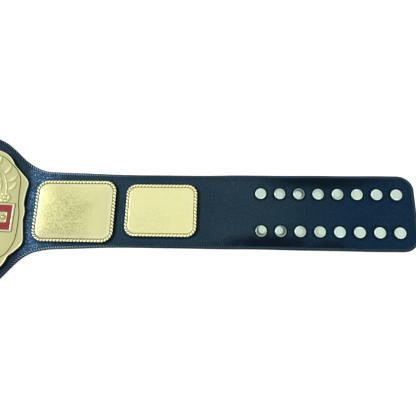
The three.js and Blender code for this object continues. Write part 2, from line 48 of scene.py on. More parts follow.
# Lengths in the dictionaries are millimetres: X along the belt, Y across it, Z up.
# Flat shapes are drawn with X as the distance along the strap, then bent to its course.
mm = 0.001


def middleOf(node):
    low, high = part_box(node)
    return (low + high) / 2 / mm


class Wire:
    # one output of a node; arithmetic on wires adds Math nodes
    def __init__(self, finish, socket):
        self.finish = finish
        self.socket = socket

    def __abs__(self):
        return self.finish.maths("ABSOLUTE", self)


def addOperator(word, operation):  # the plain form and the reflected one
    def plain(wire, other):
        return wire.finish.maths(operation, wire, other)

    def reflected(wire, other):
        return wire.finish.maths(operation, other, wire)

    setattr(Wire, f"__{word}__", plain)
    setattr(Wire, f"__r{word}__", reflected)


for words in ("add ADD", "sub SUBTRACT", "mul MULTIPLY", "truediv DIVIDE", "pow POWER"):
    addOperator(*words.split())


class Finish:
    # the node tree of one material, or of the world
    def __init__(self, name, tree=None):
        self.material = None
        if tree is None:
            self.material = bpy.data.materials.new(name)
            self.material.use_nodes = True
            tree = self.material.node_tree
        self.tree = tree
        tree.nodes.clear()
        self.place = self.node("TexCoord", output="Object")

    def node(self, kind, inputs=None, output=0, **settings):
        made = self.tree.nodes.new("ShaderNode" + kind)
        for key, value in settings.items():
            setattr(made, key, value)
        for key, value in (inputs or {}).items():
            if isinstance(value, Wire):
                self.tree.links.new(value.socket, made.inputs[key])
            else:
                made.inputs[key].default_value = value
        return Wire(self, made.outputs[output]) if len(made.outputs) else None

    def maths(self, operation, first, second=0.0):
        return self.node("Math", {0: first, 1: second}, operation=operation)

    def between(self, value, low, high):  # 0 below low, 1 above high, smooth between
        inputs = {"Value": value, "From Min": low, "From Max": high}
        return self.node("MapRange", inputs, interpolation_type="SMOOTHSTEP")

    def hump(self, value, fades):  # up over the first two fades, down over the last two
        return self.between(value, *fades[:2]) * (1 - self.between(value, *fades[2:]))

    def mix(self, factor, first, second):
        ends = [end if isinstance(end, Wire) else (*end, 1) for end in (first, second)]
        return self.node("Mix", {0: factor, 6: ends[0], 7: ends[1]}, output=2, data_type="RGBA")

    def layered(self, colour, *layers):  # each layer is a factor and the colour that it brings
        for factor, tone in layers:
            colour = self.mix(factor, colour, tone)
        return colour

    def axis(self, letter, vector=None):
        return self.node("SeparateXYZ", {0: vector or self.place}, letter)

    def attribute(self, name):
        return self.node("Attribute", output="Fac", attribute_name=name)

    def vector(self, operation, first, second):
        output = "Value" if operation == "DISTANCE" else 0
        return self.node("VectorMath", {0: first, 1: second}, output, operation=operation)

    def patch(self, place, centre, reach, ragged):  # 1 in the middle of an oval, 0 outside it
        shares = self.vector("MULTIPLY", place, (1 / (reach[0] * mm), 1 / (reach[1] * mm), 0))
        apart = self.vector("DISTANCE", shares, (centre[0] / reach[0], centre[1] / reach[1], 0))
        return 1 - self.between(apart + ragged, 0.3, 1.15)

    def noise(self, size, detail=3.0, rough=0.55, place=None):  # size is a feature's width in mm
        inputs = {"Vector": place or self.place, "Scale": 1 / (size * mm)}
        return self.node("TexNoise", {**inputs, "Detail": detail, "Roughness": rough})

    def lines(self, size, longer, turn, detail=3.0, rough=0.7):  # drawn out along a direction in degrees
        inputs = {"Vector": self.place, "Scale": (longer, 1, 1), "Rotation": (0, 0, math.radians(turn))}
        return self.noise(size, detail, rough, self.node("Mapping", inputs, vector_type="TEXTURE"))

    def cells(self, size, feature):
        inputs = {"Vector": self.place, "Scale": 1 / (size * mm)}
        if feature == "SMOOTH_F1":
            inputs["Smoothness"] = 0.35
        return self.node("TexVoronoi", inputs, feature=feature)

    def bump(self, height, depth, normal=None):  # depth in mm
        inputs = {"Height": height, "Distance": depth * mm}
        if normal is not None:
            inputs["Normal"] = normal
        return self.node("Bump", inputs)

    def surface(self, inputs):
        shader = self.node("BsdfPrincipled", inputs)
        self.node("OutputMaterial", {"Surface": shader})
        return self.material


# Leather: glossy pebbled navy face, painted edge, matte lining
leatherLook = {
    # painted highlight: brighter blue where the lamp's reflection falls beside the main plate
    "highlightBlue": (0.014, 0.048, 0.110),
    "middle": (0.0113, 0.027, 0.0385),
    "tail": (0.0010, 0.0135, 0.035),
    "flare": (0.0055, 0.0185, 0.028),
    # painted shade: colour of the painted shadows, groove shade and dark reflections on the strap
    "paintedShade": (0.0004, 0.0022, 0.0050),
    "cloud": (0.002, 0.008, 0.016),
    # painted shade in the grain's creases
    "creaseShade": (0.001, 0.004, 0.009),
    # painted glints on the grain's crests, strongest in the painted highlight
    "crest": (0.15, 0.28, 0.43),
    # places of the fades, in metres from the belt's middle
    "highlightFades": (0.123, 0.134, 0.143, 0.186),
    "flareFade": (0.095, 0.135),
    "tailFade": (0.42, 0.60),
    # size and fades of the painted glints
    "fleck": 1.8,
    "fleckFade": (0.54, 0.62),
    "pebble": 1.7,
    "pebbleDepth": 0.30,
    "pore": 0.55,
    "poreDepth": 0.05,
    "roughness": 0.31,
    "specular": 0.09,
    "tint": (0.30, 0.66, 1.0, 1),
    "coat": 0.02,
    "coatRoughness": 0.22,
    # painted shadow rings round each fastener: strength, fade in mm
    "ring": 0.85,
    "ringFade": (8.2, 11.4),
    # painted dark reflections on the strap: middle, reach and strength
    "darkReflections": [((538, 44), (92, 15), 0.97), ((462, -43), (76, 15), 0.97), ((540, -46), (38, 11), 0.8)],
}


# painted contact shadow, as a ring round each fastener
def fastenerShadowRings(finish):
    across = finish.axis("Y") / mm
    row = finish.maths("SIGN", across)
    rings = 0
    for end, kind in ((1, "cap_right"), (-1, "stud_left")):
        upper, lower, last = (middleOf(f"snap_{kind}_{word}") for word in ("upper_1", "lower_1", "upper_8"))
        pitch = abs(last.x - upper.x) / 7
        start = (abs(upper.x) + abs(lower.x)) / 2 + (abs(upper.x) - abs(lower.x)) / 2 * row
        level = (upper.y + lower.y) / 2 + (upper.y - lower.y) / 2 * row
        along = end * finish.axis("X") / mm - start
        count = finish.maths("MAXIMUM", finish.maths("ROUND", along / pitch), 0)
        count = finish.maths("MINIMUM", count, 7)
        gap = finish.maths("SQRT", (along - pitch * count) ** 2 + (across - level) ** 2)
        rings = rings + (1 - finish.between(gap, *leatherLook["ringFade"]))
    return leatherLook["ring"] * rings


def leatherFinish():
    look = leatherLook
    finish = Finish("navy_leather")
    along = abs(finish.axis("X"))
    # band of the painted highlight beside the main plate
    highlightBand = finish.hump(along, look["highlightFades"])
    clouds = finish.between(finish.noise(45, 2), 0.3, 0.75)
    pebbles = finish.cells(look["pebble"], "SMOOTH_F1")
    creases = finish.between(finish.cells(look["pebble"], "DISTANCE_TO_EDGE"), 0.0, 0.16)
    # where the painted glints fall
    crests = finish.between(finish.noise(look["fleck"], 3, 0.6), *look["fleckFade"])
    # painted shade from the strap's points, painted dark reflections in patches and painted shadow rings
    # round the fasteners
    paintedShade = finish.attribute("hollow")
    ragged = 0.9 * finish.noise(11, 4, 0.7) - 0.45
    folded = finish.node("CombineXYZ", {0: along, 1: finish.axis("Y")})
    # painted dark reflections, in ragged patches
    for centre, reach, strength in look["darkReflections"]:
        paintedShade = finish.maths("MAXIMUM", paintedShade, strength * finish.patch(folded, centre, reach, ragged))
    colour = finish.mix(finish.between(along, *look["flareFade"]), look["flare"], look["middle"])
    colour = finish.layered(
        colour,
        (highlightBand, look["highlightBlue"]),
        (finish.between(along, *look["tailFade"]), look["tail"]),
        (0.3 * clouds, look["cloud"]),
        (0.35 * (1 - creases), look["creaseShade"]),
        (crests * (0.05 + 0.80 * highlightBand), look["crest"]),
        (finish.maths("MAXIMUM", paintedShade, fastenerShadowRings(finish)), look["paintedShade"]),
    )
    pores = finish.bump(finish.noise(look["pore"], 2), look["poreDepth"])
    return finish.surface({
        "Base Color": colour,
        "Roughness": look["roughness"] + 0.14 * finish.noise(6),
        "Specular IOR Level": look["specular"],
        "Specular Tint": look["tint"],
        "Coat Weight": look["coat"],
        "Coat Roughness": look["coatRoughness"],
        "Normal": finish.bump(creases * 0.6 - pebbles * 0.8, look["pebbleDepth"], pores),
    })


edgeLook = {"dark": (0.0012, 0.003, 0.006), "pale": (0.004, 0.010, 0.016), "grain": 0.9, "depth": 0.08}


def edgeFinish():
    finish = Finish("painted_edge")
    grain = finish.noise(edgeLook["grain"])
    return finish.surface({
        "Base Color": finish.mix(grain, edgeLook["dark"], edgeLook["pale"]),
        "Roughness": 0.5 + 0.2 * grain,
        "Specular IOR Level": 0.04,
        "Normal": finish.bump(grain, edgeLook["depth"]),
    })


liningLook = {
    "dark": (0.010, 0.018, 0.028), "pale": (0.022, 0.034, 0.048), "fibre": (0.04, 0.055, 0.07),
    "nap": 0.5, "napDepth": 0.16, "cloud": 18,
}


def liningFinish():
    look = liningLook
    finish = Finish("suede_lining")
    nap = finish.noise(look["nap"], 4, 0.7)
    colour = finish.mix(finish.noise(look["cloud"]), look["dark"], look["pale"])
    return finish.surface({
        "Base Color": finish.mix(nap * 0.35, colour, look["fibre"]),
        "Roughness": 0.82 + 0.12 * nap,
        "Specular IOR Level": 0.2,
        "Sheen Weight": 0.25,
        "Sheen Roughness": 0.5,
        "Normal": finish.bump(nap, look["napDepth"]),
    })


# The thread is paler beside the plates and darker elsewhere
threadLook = {
    "awayTone": (0.036, 0.075, 0.105), "dark": (0.15, 0.27, 0.37), "pale": (0.28, 0.42, 0.52),
    "paleFades": (0.118, 0.136, 0.16, 0.30), "ply": 0.25, "plyDepth": 0.06,
}


def threadFinish():
    look = threadLook
    finish = Finish("waxed_thread")
    ply = finish.lines(look["ply"], 3, 30, 2, 0.55)
    beside = finish.hump(abs(finish.axis("X")), look["paleFades"])
    return finish.surface({
        "Base Color": finish.mix(beside, look["awayTone"], finish.mix(ply, look["dark"], look["pale"])),
        "Roughness": 0.55 + 0.15 * ply,
        "Specular IOR Level": 0.15,
        "Normal": finish.bump(ply, look["plyDepth"]),
    })


# Pale gold plating of the main plate and of the inner and outer side plates. Shade darkens each plate's whole
# colour: painted shade, lit and shaded copies of one gold. Mottle is the depth of the hammered grain and
# scratch that of the fine lines, which run at turn. Specks are painted dark reflections in an oval patch,
# and swirls are arcs (centre and radius) left by a cloth.
goldKinds = ("main", "inner", "outer")
goldLooks = {
    "shade": (0.73, 0.93, 1.0),
    "roughness": (0.28, 0.24, 0.30),
    "mottle": (0.012, 0.045, 0.010),
    "mottleSize": (1.4, 1.0, 1.6),
    "scratch": (0.006, 0.014, 0.012),
    "turn": (20, -38, -30),
    "reflectionSpecks": (0.05, 0.78, 0.14),
    "speckSize": (2.4, 1.2, 2.6),
    "speckCentre": ((95, 30), (-14, -10), (-12, -14)),
    "speckReach": ((60, 70), (52, 56), (40, 24)),
    "swirls": ([], [((-60, 30), 58)], [((38, -150), 147), ((-60, 18), 72), ((60, 90), 88)]),
    "tarnishAndShade": ((0.105, 0.094, 0.010), (0.15, 0.13, 0.02), (0.33, 0.245, 0.014)),
}
goldTint = {
    "bright": (0.85, 0.85, 0.44),
    "warm": (0.77, 0.76, 0.35),
    "olive": (0.34, 0.34, 0.12),
    # painted highlight colour, also the paler swirls left by a cloth
    "highlightAndPolish": (0.95, 0.98, 0.76),
}


def goldFinish(kind):
    look = {key: values[goldKinds.index(kind)] for key, values in goldLooks.items()}
    finish = Finish(f"pale_gold_{kind}")
    hollow = finish.attribute("hollow")
    clouds = finish.noise(22)
    grain = finish.noise(look["mottleSize"], 3, 0.6)
    fine = finish.lines(0.55, 16, look["turn"], 2)
    crossed = finish.lines(0.7, 11, look["turn"] + 102, 2)
    streaks = finish.lines(look["speckSize"], 2.6, look["turn"])
    crossStreaks = finish.lines(look["speckSize"], 2.0, look["turn"] + 80)
    reflectionSpecks = finish.between(0.55 * streaks + 0.45 * crossStreaks, 0.475, 0.545)
    reflectionPatch = finish.patch(finish.place, look["speckCentre"], look["speckReach"], clouds - 0.5)
    bright, warm = (tuple(look["shade"] * part for part in goldTint[name]) for name in ("bright", "warm"))
    layers = [
        (finish.between(clouds, 0.35, 0.75) * 0.5, warm),
        # painted dark reflections: olive specks in an oval patch
        (reflectionPatch * (0.26 + 0.74 * reflectionSpecks) * look["reflectionSpecks"], goldTint["olive"]),
    ]
    for centre, radius in look["swirls"]:
        apart = finish.vector("DISTANCE", finish.place, (centre[0] * mm, centre[1] * mm, 3 * mm)) / mm
        drawn = 1 - finish.between(abs(apart - radius), 0.1, 0.6)
        layers.append((0.35 * drawn * finish.between(clouds, 0.35, 0.6), goldTint["highlightAndPolish"]))
    # painted highlight where the shading is below 0
    layers.append((0.9 * finish.between(0 - hollow, 0.05, 1.0), goldTint["highlightAndPolish"]))
    # tarnish and painted shade where the shading is above 0
    layers.append((0.92 * finish.between(hollow, 0.15, 1.0), look["tarnishAndShade"]))
    scratches = finish.bump(fine + 0.7 * crossed, look["scratch"])
    patchy = finish.between(clouds, 0.4, 0.65)
    return finish.surface({
        "Base Color": finish.layered(bright, *layers),
        "Metallic": 1.0,
        "Roughness": look["roughness"] + 0.12 * clouds + 0.08 * fine + 0.2 * hollow,
        "Normal": finish.bump(grain * (0.35 + 0.65 * patchy), look["mottle"], scratches),
    })


enamelLook = {
    "bright": (0.31, 0.030, 0.034), "deep": (0.25, 0.021, 0.024), "fleck": (0.40, 0.05, 0.05),
    "cloud": 9, "fleckSize": 0.8, "ripple": 3.0, "rippleDepth": 0.05,
}


def enamelFinish():
    look = enamelLook
    finish = Finish("red_enamel")
    flecks = finish.noise(look["fleckSize"])
    clouds = finish.between(finish.noise(look["cloud"], 2), 0.3, 0.7)
    colour = finish.mix(clouds, look["bright"], look["deep"])
    return finish.surface({
        "Base Color": finish.mix(finish.between(flecks, 0.6, 0.75) * 0.35, colour, look["fleck"]),
        "Roughness": 0.30 + 0.15 * flecks,
        "Specular IOR Level": 0.25,
        "Coat Weight": 0.25,
        "Coat Roughness": 0.12,
        "Normal": finish.bump(finish.noise(look["ripple"], 2), look["rippleDepth"]),
    })


nickelLook = {
    "bright": (0.73, 0.91, 0.80), "dull": (0.57, 0.76, 0.62), "tarnishAndShade": (0.10, 0.13, 0.10),
    "cloud": 5, "grain": 0.7, "grainDepth": 0.012,
}


def nickelFinish():
    look = nickelLook
    finish = Finish("satin_nickel")
    hollow = finish.attribute("hollow")
    grain = finish.noise(look["grain"])
    colour = finish.mix(finish.noise(look["cloud"], 2) * 0.6, look["bright"], look["dull"])
    return finish.surface({
        # tarnish and shade colour: painted shade under the caps' rims and in their grooves, and painted dark
        # reflections
        "Base Color": finish.mix(hollow, colour, look["tarnishAndShade"]),
        "Metallic": 1.0,
        "Roughness": 0.22 + 0.16 * grain + 0.3 * hollow,
        "Normal": finish.bump(grain, look["grainDepth"]),
    })


leather = leatherFinish()
edgePaint = edgeFinish()
lining = liningFinish()
thread = threadFinish()
gold = {kind: goldFinish(kind) for kind in goldKinds}
enamel = enamelFinish()
nickel = nickelFinish()
print("finishes made")


# The belt's course, as in the frame: an arch under the main plate, flat stretches, and a
# small lift at each end that clears the fasteners below the strap
belt = {
    "length": 1312,
    "width": 101.8,
    "thickness": 3.0,
    "cornerRadius": 20,
    "flareHeight": 226,
    "plateHalf": 131,
    "archDegrees": 11.5,
    "archEase": 8.5,
    "liftShare": 0.1,
    "liftRight": 2.7,
    "liftLeft": 1.1,
    "seatGap": 0.3,
    "step": 0.25,
}


def courseTable(liftStart, liftEnd, liftHeight):
    run = liftEnd - liftStart
    liftAngle = 2 * math.atan(liftHeight / run)
    liftHalf = run * liftAngle / (2 * math.sin(liftAngle))
    archEnd = belt["plateHalf"] + belt["archEase"]
    lengths = [0, belt["plateHalf"], belt["archEase"], liftStart - archEnd]
    lengths += [liftHalf, liftHalf, belt["length"] / 2]
    angles = [0, -math.radians(belt["archDegrees"]), 0, 0, liftAngle, 0, 0]
    knots = np.cumsum(lengths)
    s = np.arange(0, knots[-1], belt["step"])
    angle = np.interp(s, knots, angles)
    middle = (angle[1:] + angle[:-1]) / 2
    x = np.concatenate([[0], np.cumsum(np.cos(middle)) * belt["step"]])
    z = np.concatenate([[0], np.cumsum(np.sin(middle)) * belt["step"]])
    return {"s": s, "x": x, "z": z - np.interp(archEnd, s, z), "angle": angle}


# what the arch takes off a place beyond it, measured 200 mm out on a course that lifts later
archOnly = courseTable(300, 400, belt["liftLeft"])
archShortening = 200 - np.interp(200, archOnly["s"], archOnly["x"])
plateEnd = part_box("side_plate_right_outer")[1].x / mm + archShortening
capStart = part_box("snap_cap_right_upper_1")[0].x / mm + archShortening
plainRun = capStart - plateEnd
liftEnds = [plateEnd + share * plainRun for share in (belt["liftShare"], 1 - belt["liftShare"])]
courses = {1: courseTable(*liftEnds, belt["liftRight"]), -1: courseTable(*liftEnds, belt["liftLeft"])}


def bend(points):
    points = np.asarray(points, float)
    bent = points.copy()
    for side, table in courses.items():
        chosen = points[:, 0] >= 0 if side > 0 else points[:, 0] < 0
        s, y, h = np.abs(points[chosen, 0]), points[chosen, 1], points[chosen, 2]
        angle = np.interp(s, table["s"], table["angle"])
        x = np.interp(s, table["s"], table["x"]) - h * np.sin(angle)
        z = np.interp(s, table["s"], table["z"]) + h * np.cos(angle)
        bent[chosen] = np.stack([side * x, y, z], 1)
    return bent


class Body:
    # points and faces of one piece, gathered shell by shell, with painted shading for each point: above 0
    # painted shade (and tarnish on the gold), below 0 a painted highlight
    def __init__(self):
        self.points = []
        self.faces = []
        self.slots = []
        self.hollow = []
        self.count = 0

    def add(self, points, faces, slot=0, hollow=None):
        points = np.asarray(points, float)
        self.points.append(points)
        self.faces += [tuple(int(i) + self.count for i in face) for face in faces]
        self.slots += [slot] * len(faces)
        self.hollow.append(np.zeros(len(points)) if hollow is None else np.asarray(hollow, float))
        self.count += len(points)

    def build(self, name, materials, bent=True, sharp=42, weld=0.004):
        points = np.concatenate(self.points)
        points = bend(points) if bent else points
        mesh = bpy.data.meshes.new(name)
        mesh.from_pydata((points * mm).tolist(), [], self.faces)
        for material in materials:
            mesh.materials.append(material)
        mesh.polygons.foreach_set("material_index", self.slots)
        mesh.attributes.new("hollow", "FLOAT", "POINT").data.foreach_set("value", np.concatenate(self.hollow))
        cleaned = bmesh.new()
        cleaned.from_mesh(mesh)
        bmesh.ops.remove_doubles(cleaned, verts=cleaned.verts, dist=weld * mm)
        bmesh.ops.recalc_face_normals(cleaned, faces=cleaned.faces)
        for face in cleaned.faces:
            face.smooth = True
        cleaned.to_mesh(mesh)
        cleaned.free()
        mesh.set_sharp_from_angle(angle=math.radians(sharp))
        return mesh


slots = ("leather", "gold", "enamel", "nickel")
slotPieces = {slot: bpy.data.collections.new(f"{slot}_pieces") for slot in slots}


def linked(name, data):
    made = bpy.data.objects.new(name, data)
    bpy.context.scene.collection.objects.link(made)
    return made


def showPiece(name, mesh, slot, nodes=(), place=(0, 0, 0), turn=(0, 0, 0)):
    piece = linked(name, mesh)
    slotPieces[slot].objects.link(piece)
    piece.rotation_euler = turn
    piece.location = Vector(place) * mm
    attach(piece, "root")
    if nodes:
        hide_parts(*nodes)


# Contours are closed, run counterclockwise and hold one [x, y] row for each point
def lengthsOf(line):
    return np.concatenate([[0], np.cumsum(np.linalg.norm(np.diff(line, axis=0), axis=1))])


def along(line, steps):  # evenly spaced points from a line's start to its end
    lengths = lengthsOf(line)
    places = np.linspace(0, lengths[-1], steps + 1)
    return np.stack([np.interp(places, lengths, line[:, k]) for k in (0, 1)], 1)


def resampled(points, spacing):
    closed = np.concatenate([points, points[:1]])
    return along(closed, max(8, round(lengthsOf(closed)[-1] / spacing)))[:-1]


def softened(points, rounds):
    for _ in range(rounds):
        points = points / 2 + (np.roll(points, 1, 0) + np.roll(points, -1, 0)) / 4
    return points


def catmullRom(knots, steps):
    knots = np.asarray(knots, float)
    before, after, beyond = (np.roll(knots, k, 0) for k in (1, -1, -2))
    t = (np.arange(steps) / steps)[None, :, None]
    a, b, c, d = (one[:, None, :] for one in (before, knots, after, beyond))
    curve = 2 * b + (c - a) * t + (2 * a - 5 * b + 4 * c - d) * t**2 + (3 * b - a - 3 * c + d) * t**3
    return (curve / 2).reshape(-1, 2)


def unit(vectors):
    return vectors / np.linalg.norm(vectors, axis=1, keepdims=True)


def quarterTurn(vectors):
    return vectors[:, ::-1] * [-1, 1]


def outwardOf(contour):
    normal = -quarterTurn(unit(np.roll(contour, -1, 0) - contour))
    both = unit(normal + np.roll(normal, 1, 0))
    mitre = np.clip((both * normal).sum(1, keepdims=True), 0.45, 1)
    return both / mitre


def raised(flat, height):
    return np.concatenate([flat, np.full((len(flat), 1), float(height))], 1)


def ringsOf(contour, rows, base=0.0):  # a ring for each row of inset from the contour and height
    outward = outwardOf(contour)
    return [raised(contour - outward * inset, base + height) for inset, height, *_ in rows]


def skin(rows, wrapRows=False, closed=False):  # quads between rows of equally many points, each row a loop
    count = len(rows[0])
    i = np.arange(count)
    j = (i + 1) % count
    faces = []
    for k in range(len(rows) if wrapRows else len(rows) - 1):
        a, b = k * count, ((k + 1) % len(rows)) * count
        faces += np.stack([a + i, a + j, b + j, b + i], 1).tolist()
    if closed:
        faces += [i[::-1].tolist(), (i + (len(rows) - 1) * count).tolist()]
    return np.concatenate(rows), faces


def mirrored(half):  # a whole outline from its right half, which runs from the bottom to the top
    return np.concatenate([half, (half * [-1, 1])[::-1][1:-1]])


def inside(points, contour):
    x, y = points[:, :1], points[:, 1:2]
    a, b = contour, np.roll(contour, -1, 0)
    crosses = (a[None, :, 1] > y) != (b[None, :, 1] > y)
    rise = np.where(np.abs(b[:, 1] - a[:, 1]) < 1e-9, 1e-9, b[:, 1] - a[:, 1])
    where = a[None, :, 0] + (y - a[None, :, 1]) * ((b[:, 0] - a[:, 0]) / rise)[None]
    return (crosses & (x < where)).sum(1) % 2 == 1


def filled(outer, holes, spacing):  # flat triangles between a contour and its holes
    loops = [outer, *holes]
    low, high = outer.min(0), outer.max(0)
    columns = np.arange(low[0], high[0], spacing)
    levels = np.arange(low[1], high[1], spacing * 0.87)
    x, y = np.meshgrid(columns, levels)
    x += (np.arange(len(levels)) % 2 * spacing / 2)[:, None]
    grid = np.stack([x.ravel(), y.ravel()], 1)
    edges, start = [], 0
    for k, loop in enumerate(loops):
        grid = grid[inside(grid, loop) == (k == 0)]
        edges += [(start + i, start + (i + 1) % len(loop)) for i in range(len(loop))]
        start += len(loop)
    for loop in loops:
        nearest = np.linalg.norm(grid[:, None] - loop[None], axis=2).min(1)
        grid = grid[nearest > 0.5 * spacing]
    points = np.concatenate([*loops, grid])
    found = delaunay_2d_cdt([Vector(p) for p in points], edges, [], 0, 1e-6)
    flat = np.array([list(p) for p in found[0]])
    triangles = np.array(found[2])
    centres = flat[triangles].mean(1)
    keep = inside(centres, outer)
    for hole in holes:
        keep &= ~inside(centres, hole)
    return flat, triangles[keep].tolist()


def addCap(body, contour, holes, height, spacing):
    flat, triangles = filled(contour, holes, spacing)
    body.add(raised(flat, height), triangles)


# Strap
strapWork = {
    "sideSteps": 560,
    "endSteps": 40,
    "wave": 0.22,
    "sway": 0.25,
    "capDimple": 0.35,
    "dimpleRadius": 8.5,
    "stitchInset": 2.4,
    "stitchPitch": 3.3,
    "stitchLength": 4.0,
    "stitchWidth": 1.15,
    "stitchRise": 0.45,
    "stitchDegrees": -52,
    "grooveDepth": 0.36,
    "seamReach": 4.4,
    "seamShade": 0.85,
    "plateBand": 3.2,
    "plateShade": 0.85,
}
# Section of the strap's edge from the face round to the lining: inset from the outline, depth
# below the face, and the finish: 0 leather, 1 painted edge, 2 lining
edgeRows = [
    (9.6, 0, 0), (8.2, 0, 0), (7.85, 0.08, 0), (7.5, 0.26, 0), (7.15, 0.08, 0), (6.8, 0, 0),
    (5.6, 0, 0), (4.7, 0, 0), (4.2, 0.12, 0), (3.4, 0.3, 0), (2.4, 0.36, 0), (1.5, 0.3, 0),
    (1.1, 0.2, 0), (0.8, 0.14, 0), (0.45, 0.2, 1), (0.15, 0.42, 1), (0, 0.85, 1), (0.02, 1.3, 1),
    (0.2, 1.5, 1), (0.02, 1.7, 1), (0, 2.15, 1), (0.15, 2.6, 1), (0.45, 2.86, 2), (0.85, 2.97, 2),
    (1.5, 2.78, 2), (2.4, 2.66, 2), (3.3, 2.78, 2), (4.2, 3.0, 2), (9.6, 3.0, 2),
]
# The flare under the main plate: place as a share of the plate's half width, and the spread
# above and below, 0 at the plain strap's edge and 1 at the full flare
flareRows = [
    (0, 1, 1), (0.3, 0.989, 1), (0.47, 0.92, 0.993), (0.61, 0.8, 0.962), (0.7, 0.705, 0.905),
    (0.8, 0.534, 0.784), (0.845, 0.447, 0.686), (0.893, 0.354, 0.556), (0.94, 0.279, 0.434),
    (0.985, 0.217, 0.326), (1.04, 0.158, 0.23), (1.115, 0.097, 0.15), (1.19, 0.068, 0.11),
    (1.29, 0.059, 0.077), (1.41, 0.05, 0.06), (1.57, 0.038, 0.046), (1.84, 0.019, 0.021),
    (2.2, 0.005, 0.003), (2.5, 0, 0),
]


def strapSide(column, sign):  # outline from the left end's corner to the right end's corner
    half, radius = belt["width"] / 2, belt["cornerRadius"]
    spread = belt["flareHeight"] / 2 - half
    rows = np.array(flareRows)
    knots = np.stack([rows[:, 0] * belt["plateHalf"], half + rows[:, column] * spread], 1)
    whole = np.concatenate([(knots * [-1, 1])[:0:-1], knots])
    padded = np.concatenate([whole[:1] - [30, 0], whole, whole[-1:] + [30, 0]])
    curve = np.concatenate([catmullRom(padded, 8)[8:8 * len(whole)], whole[-1:]])
    angle = np.linspace(0, math.pi / 4, 12)
    cornerX = belt["length"] / 2 - radius + radius * np.sin(angle)
    corner = np.stack([cornerX, half - radius + radius * np.cos(angle)], 1)
    plain = np.stack([np.linspace(curve[-1, 0] + 5, corner[0, 0], 40), np.full(40, half)], 1)
    tail = np.concatenate([plain[:-1], corner])
    line = np.concatenate([(tail * [-1, 1])[::-1], curve, tail])
    line[:, 1] += strapWork["sway"] * np.sin(line[:, 0] / 21 + column) * np.sin(line[:, 0] / 57)
    return line * [1, sign]


def strapOutline():
    upper, lower = strapSide(1, 1), strapSide(2, -1)
    radius, half = belt["cornerRadius"], belt["width"] / 2
    angle = np.linspace(-math.pi / 4, 0, 10)
    cornerX = belt["length"] / 2 - radius + radius * np.cos(angle)
    corner = np.stack([cornerX, radius - half + radius * np.sin(angle)], 1)
    end = np.concatenate([lower[-1:], corner[1:], (corner * [1, -1])[::-1][:-1], upper[-1:]])
    sides = [along(lower, strapWork["sideSteps"]), along(end, strapWork["endSteps"])]
    sides += [along(upper[::-1], strapWork["sideSteps"]), along((end * [-1, 1])[::-1], strapWork["endSteps"])]
    return np.concatenate([side[:-1] for side in sides])


capPlaces = {name: middleOf(name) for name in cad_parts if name.startswith("snap_")}
capFlat = np.array([[p.x + math.copysign(archShortening, p.x), p.y] for p in capPlaces.values()])


def settled(points):  # the leather's slow waves, and its dimples round the fasteners
    x, y = points[:, 0], points[:, 1]
    wave = np.sin(x / 19 + y / 31) * np.sin(x / 47 - y / 23 + 1.1) + 0.5 * np.sin(x / 11 - y / 17)
    distance = np.linalg.norm(points[:, None, :2] - capFlat[None], axis=2).min(1)
    dimple = np.exp(-((distance / strapWork["dimpleRadius"]) ** 4))
    points[:, 2] += strapWork["wave"] * wave * (1 - dimple) - strapWork["capDimple"] * dimple
    return points


def coonsGrid(ring, columns, rows):  # a grid that fills a ring of four sides
    top = ring[2 * columns + rows:columns + rows - 1:-1]
    bottom = ring[:columns + 1]
    right = ring[columns:columns + rows + 1]
    left = np.concatenate([ring[:1], ring[:2 * columns + rows - 1:-1]])
    u = np.linspace(0, 1, columns + 1)[:, None, None]
    v = np.linspace(0, 1, rows + 1)[None, :, None]
    grid = (1 - v) * bottom[:, None] + v * top[:, None] + (1 - u) * left[None] + u * right[None]
    lower, upper = (1 - u) * bottom[0] + u * bottom[-1], (1 - u) * top[0] + u * top[-1]
    return grid - (1 - v) * lower - v * upper


def paintedPlateShadow(points):  # painted shadow of the plates: 1 under and against a plate, 0 a few millimetres away from it
    shade = np.zeros(len(points))
    reach = strapWork["plateBand"]
    for contour in plateOutlines():
        low, high = contour.min(0) - reach, contour.max(0) + reach
        close = np.flatnonzero(((points[:, :2] > low) & (points[:, :2] < high)).all(1))
        chosen = points[close, :2]
        gap = np.linalg.norm(chosen[:, None] - contour[None], axis=2).min(1)
        gap[inside(chosen, contour)] = 0
        shade[close] = np.maximum(shade[close], np.clip((reach - gap) / (reach - 1.2), 0, 1))
    return shade * strapWork["plateShade"]


def addStrapFace(body, ring, slot):
    columns, rows = strapWork["sideSteps"], strapWork["endSteps"]
    grid = coonsGrid(ring, columns, rows)
    points = settled(grid.reshape(-1, 3)) if slot == 0 else grid.reshape(-1, 3)
    hollow = paintedPlateShadow(points) if slot == 0 else None
    i, j = np.meshgrid(np.arange(columns), np.arange(rows), indexing="ij")
    a = (i * (rows + 1) + j).ravel()
    b = ((i + 1) * (rows + 1) + j).ravel()
    body.add(points, np.stack([a, b, b + 1, a + 1], 1).tolist(), slot, hollow)


outline = strapOutline()


def makeStrap():
    body = Body()
    thick = belt["thickness"]
    rows = ringsOf(outline, [(inset, thick - depth) for inset, depth, _ in edgeRows])
    faceRing, backRing = rows[0].copy(), rows[-1].copy()
    shades = []
    for row, (inset, depth, kind) in zip(rows, edgeRows):
        if depth < thick / 2:
            settled(row)
        # painted shade in the stitch groove and the tooled line, and painted shadow beside the plates
        seam = strapWork["seamShade"] if 0.1 < inset < strapWork["seamReach"] else 0
        least = max(seam, 2.2 * depth) if kind == 0 else 0
        shades.append(np.maximum(paintedPlateShadow(row), least).clip(0, 1))
    for k in range(len(rows) - 1):
        slot = max(edgeRows[k][2], edgeRows[k + 1][2])
        body.add(*skin(rows[k:k + 2]), slot, np.concatenate(shades[k:k + 2]))
    addStrapFace(body, faceRing, 0)
    addStrapFace(body, backRing, 2)
    mesh = body.build("strap_leather", [leather, edgePaint, lining], sharp=60)
    showPiece("strap_leather", mesh, "leather", ["strap"])


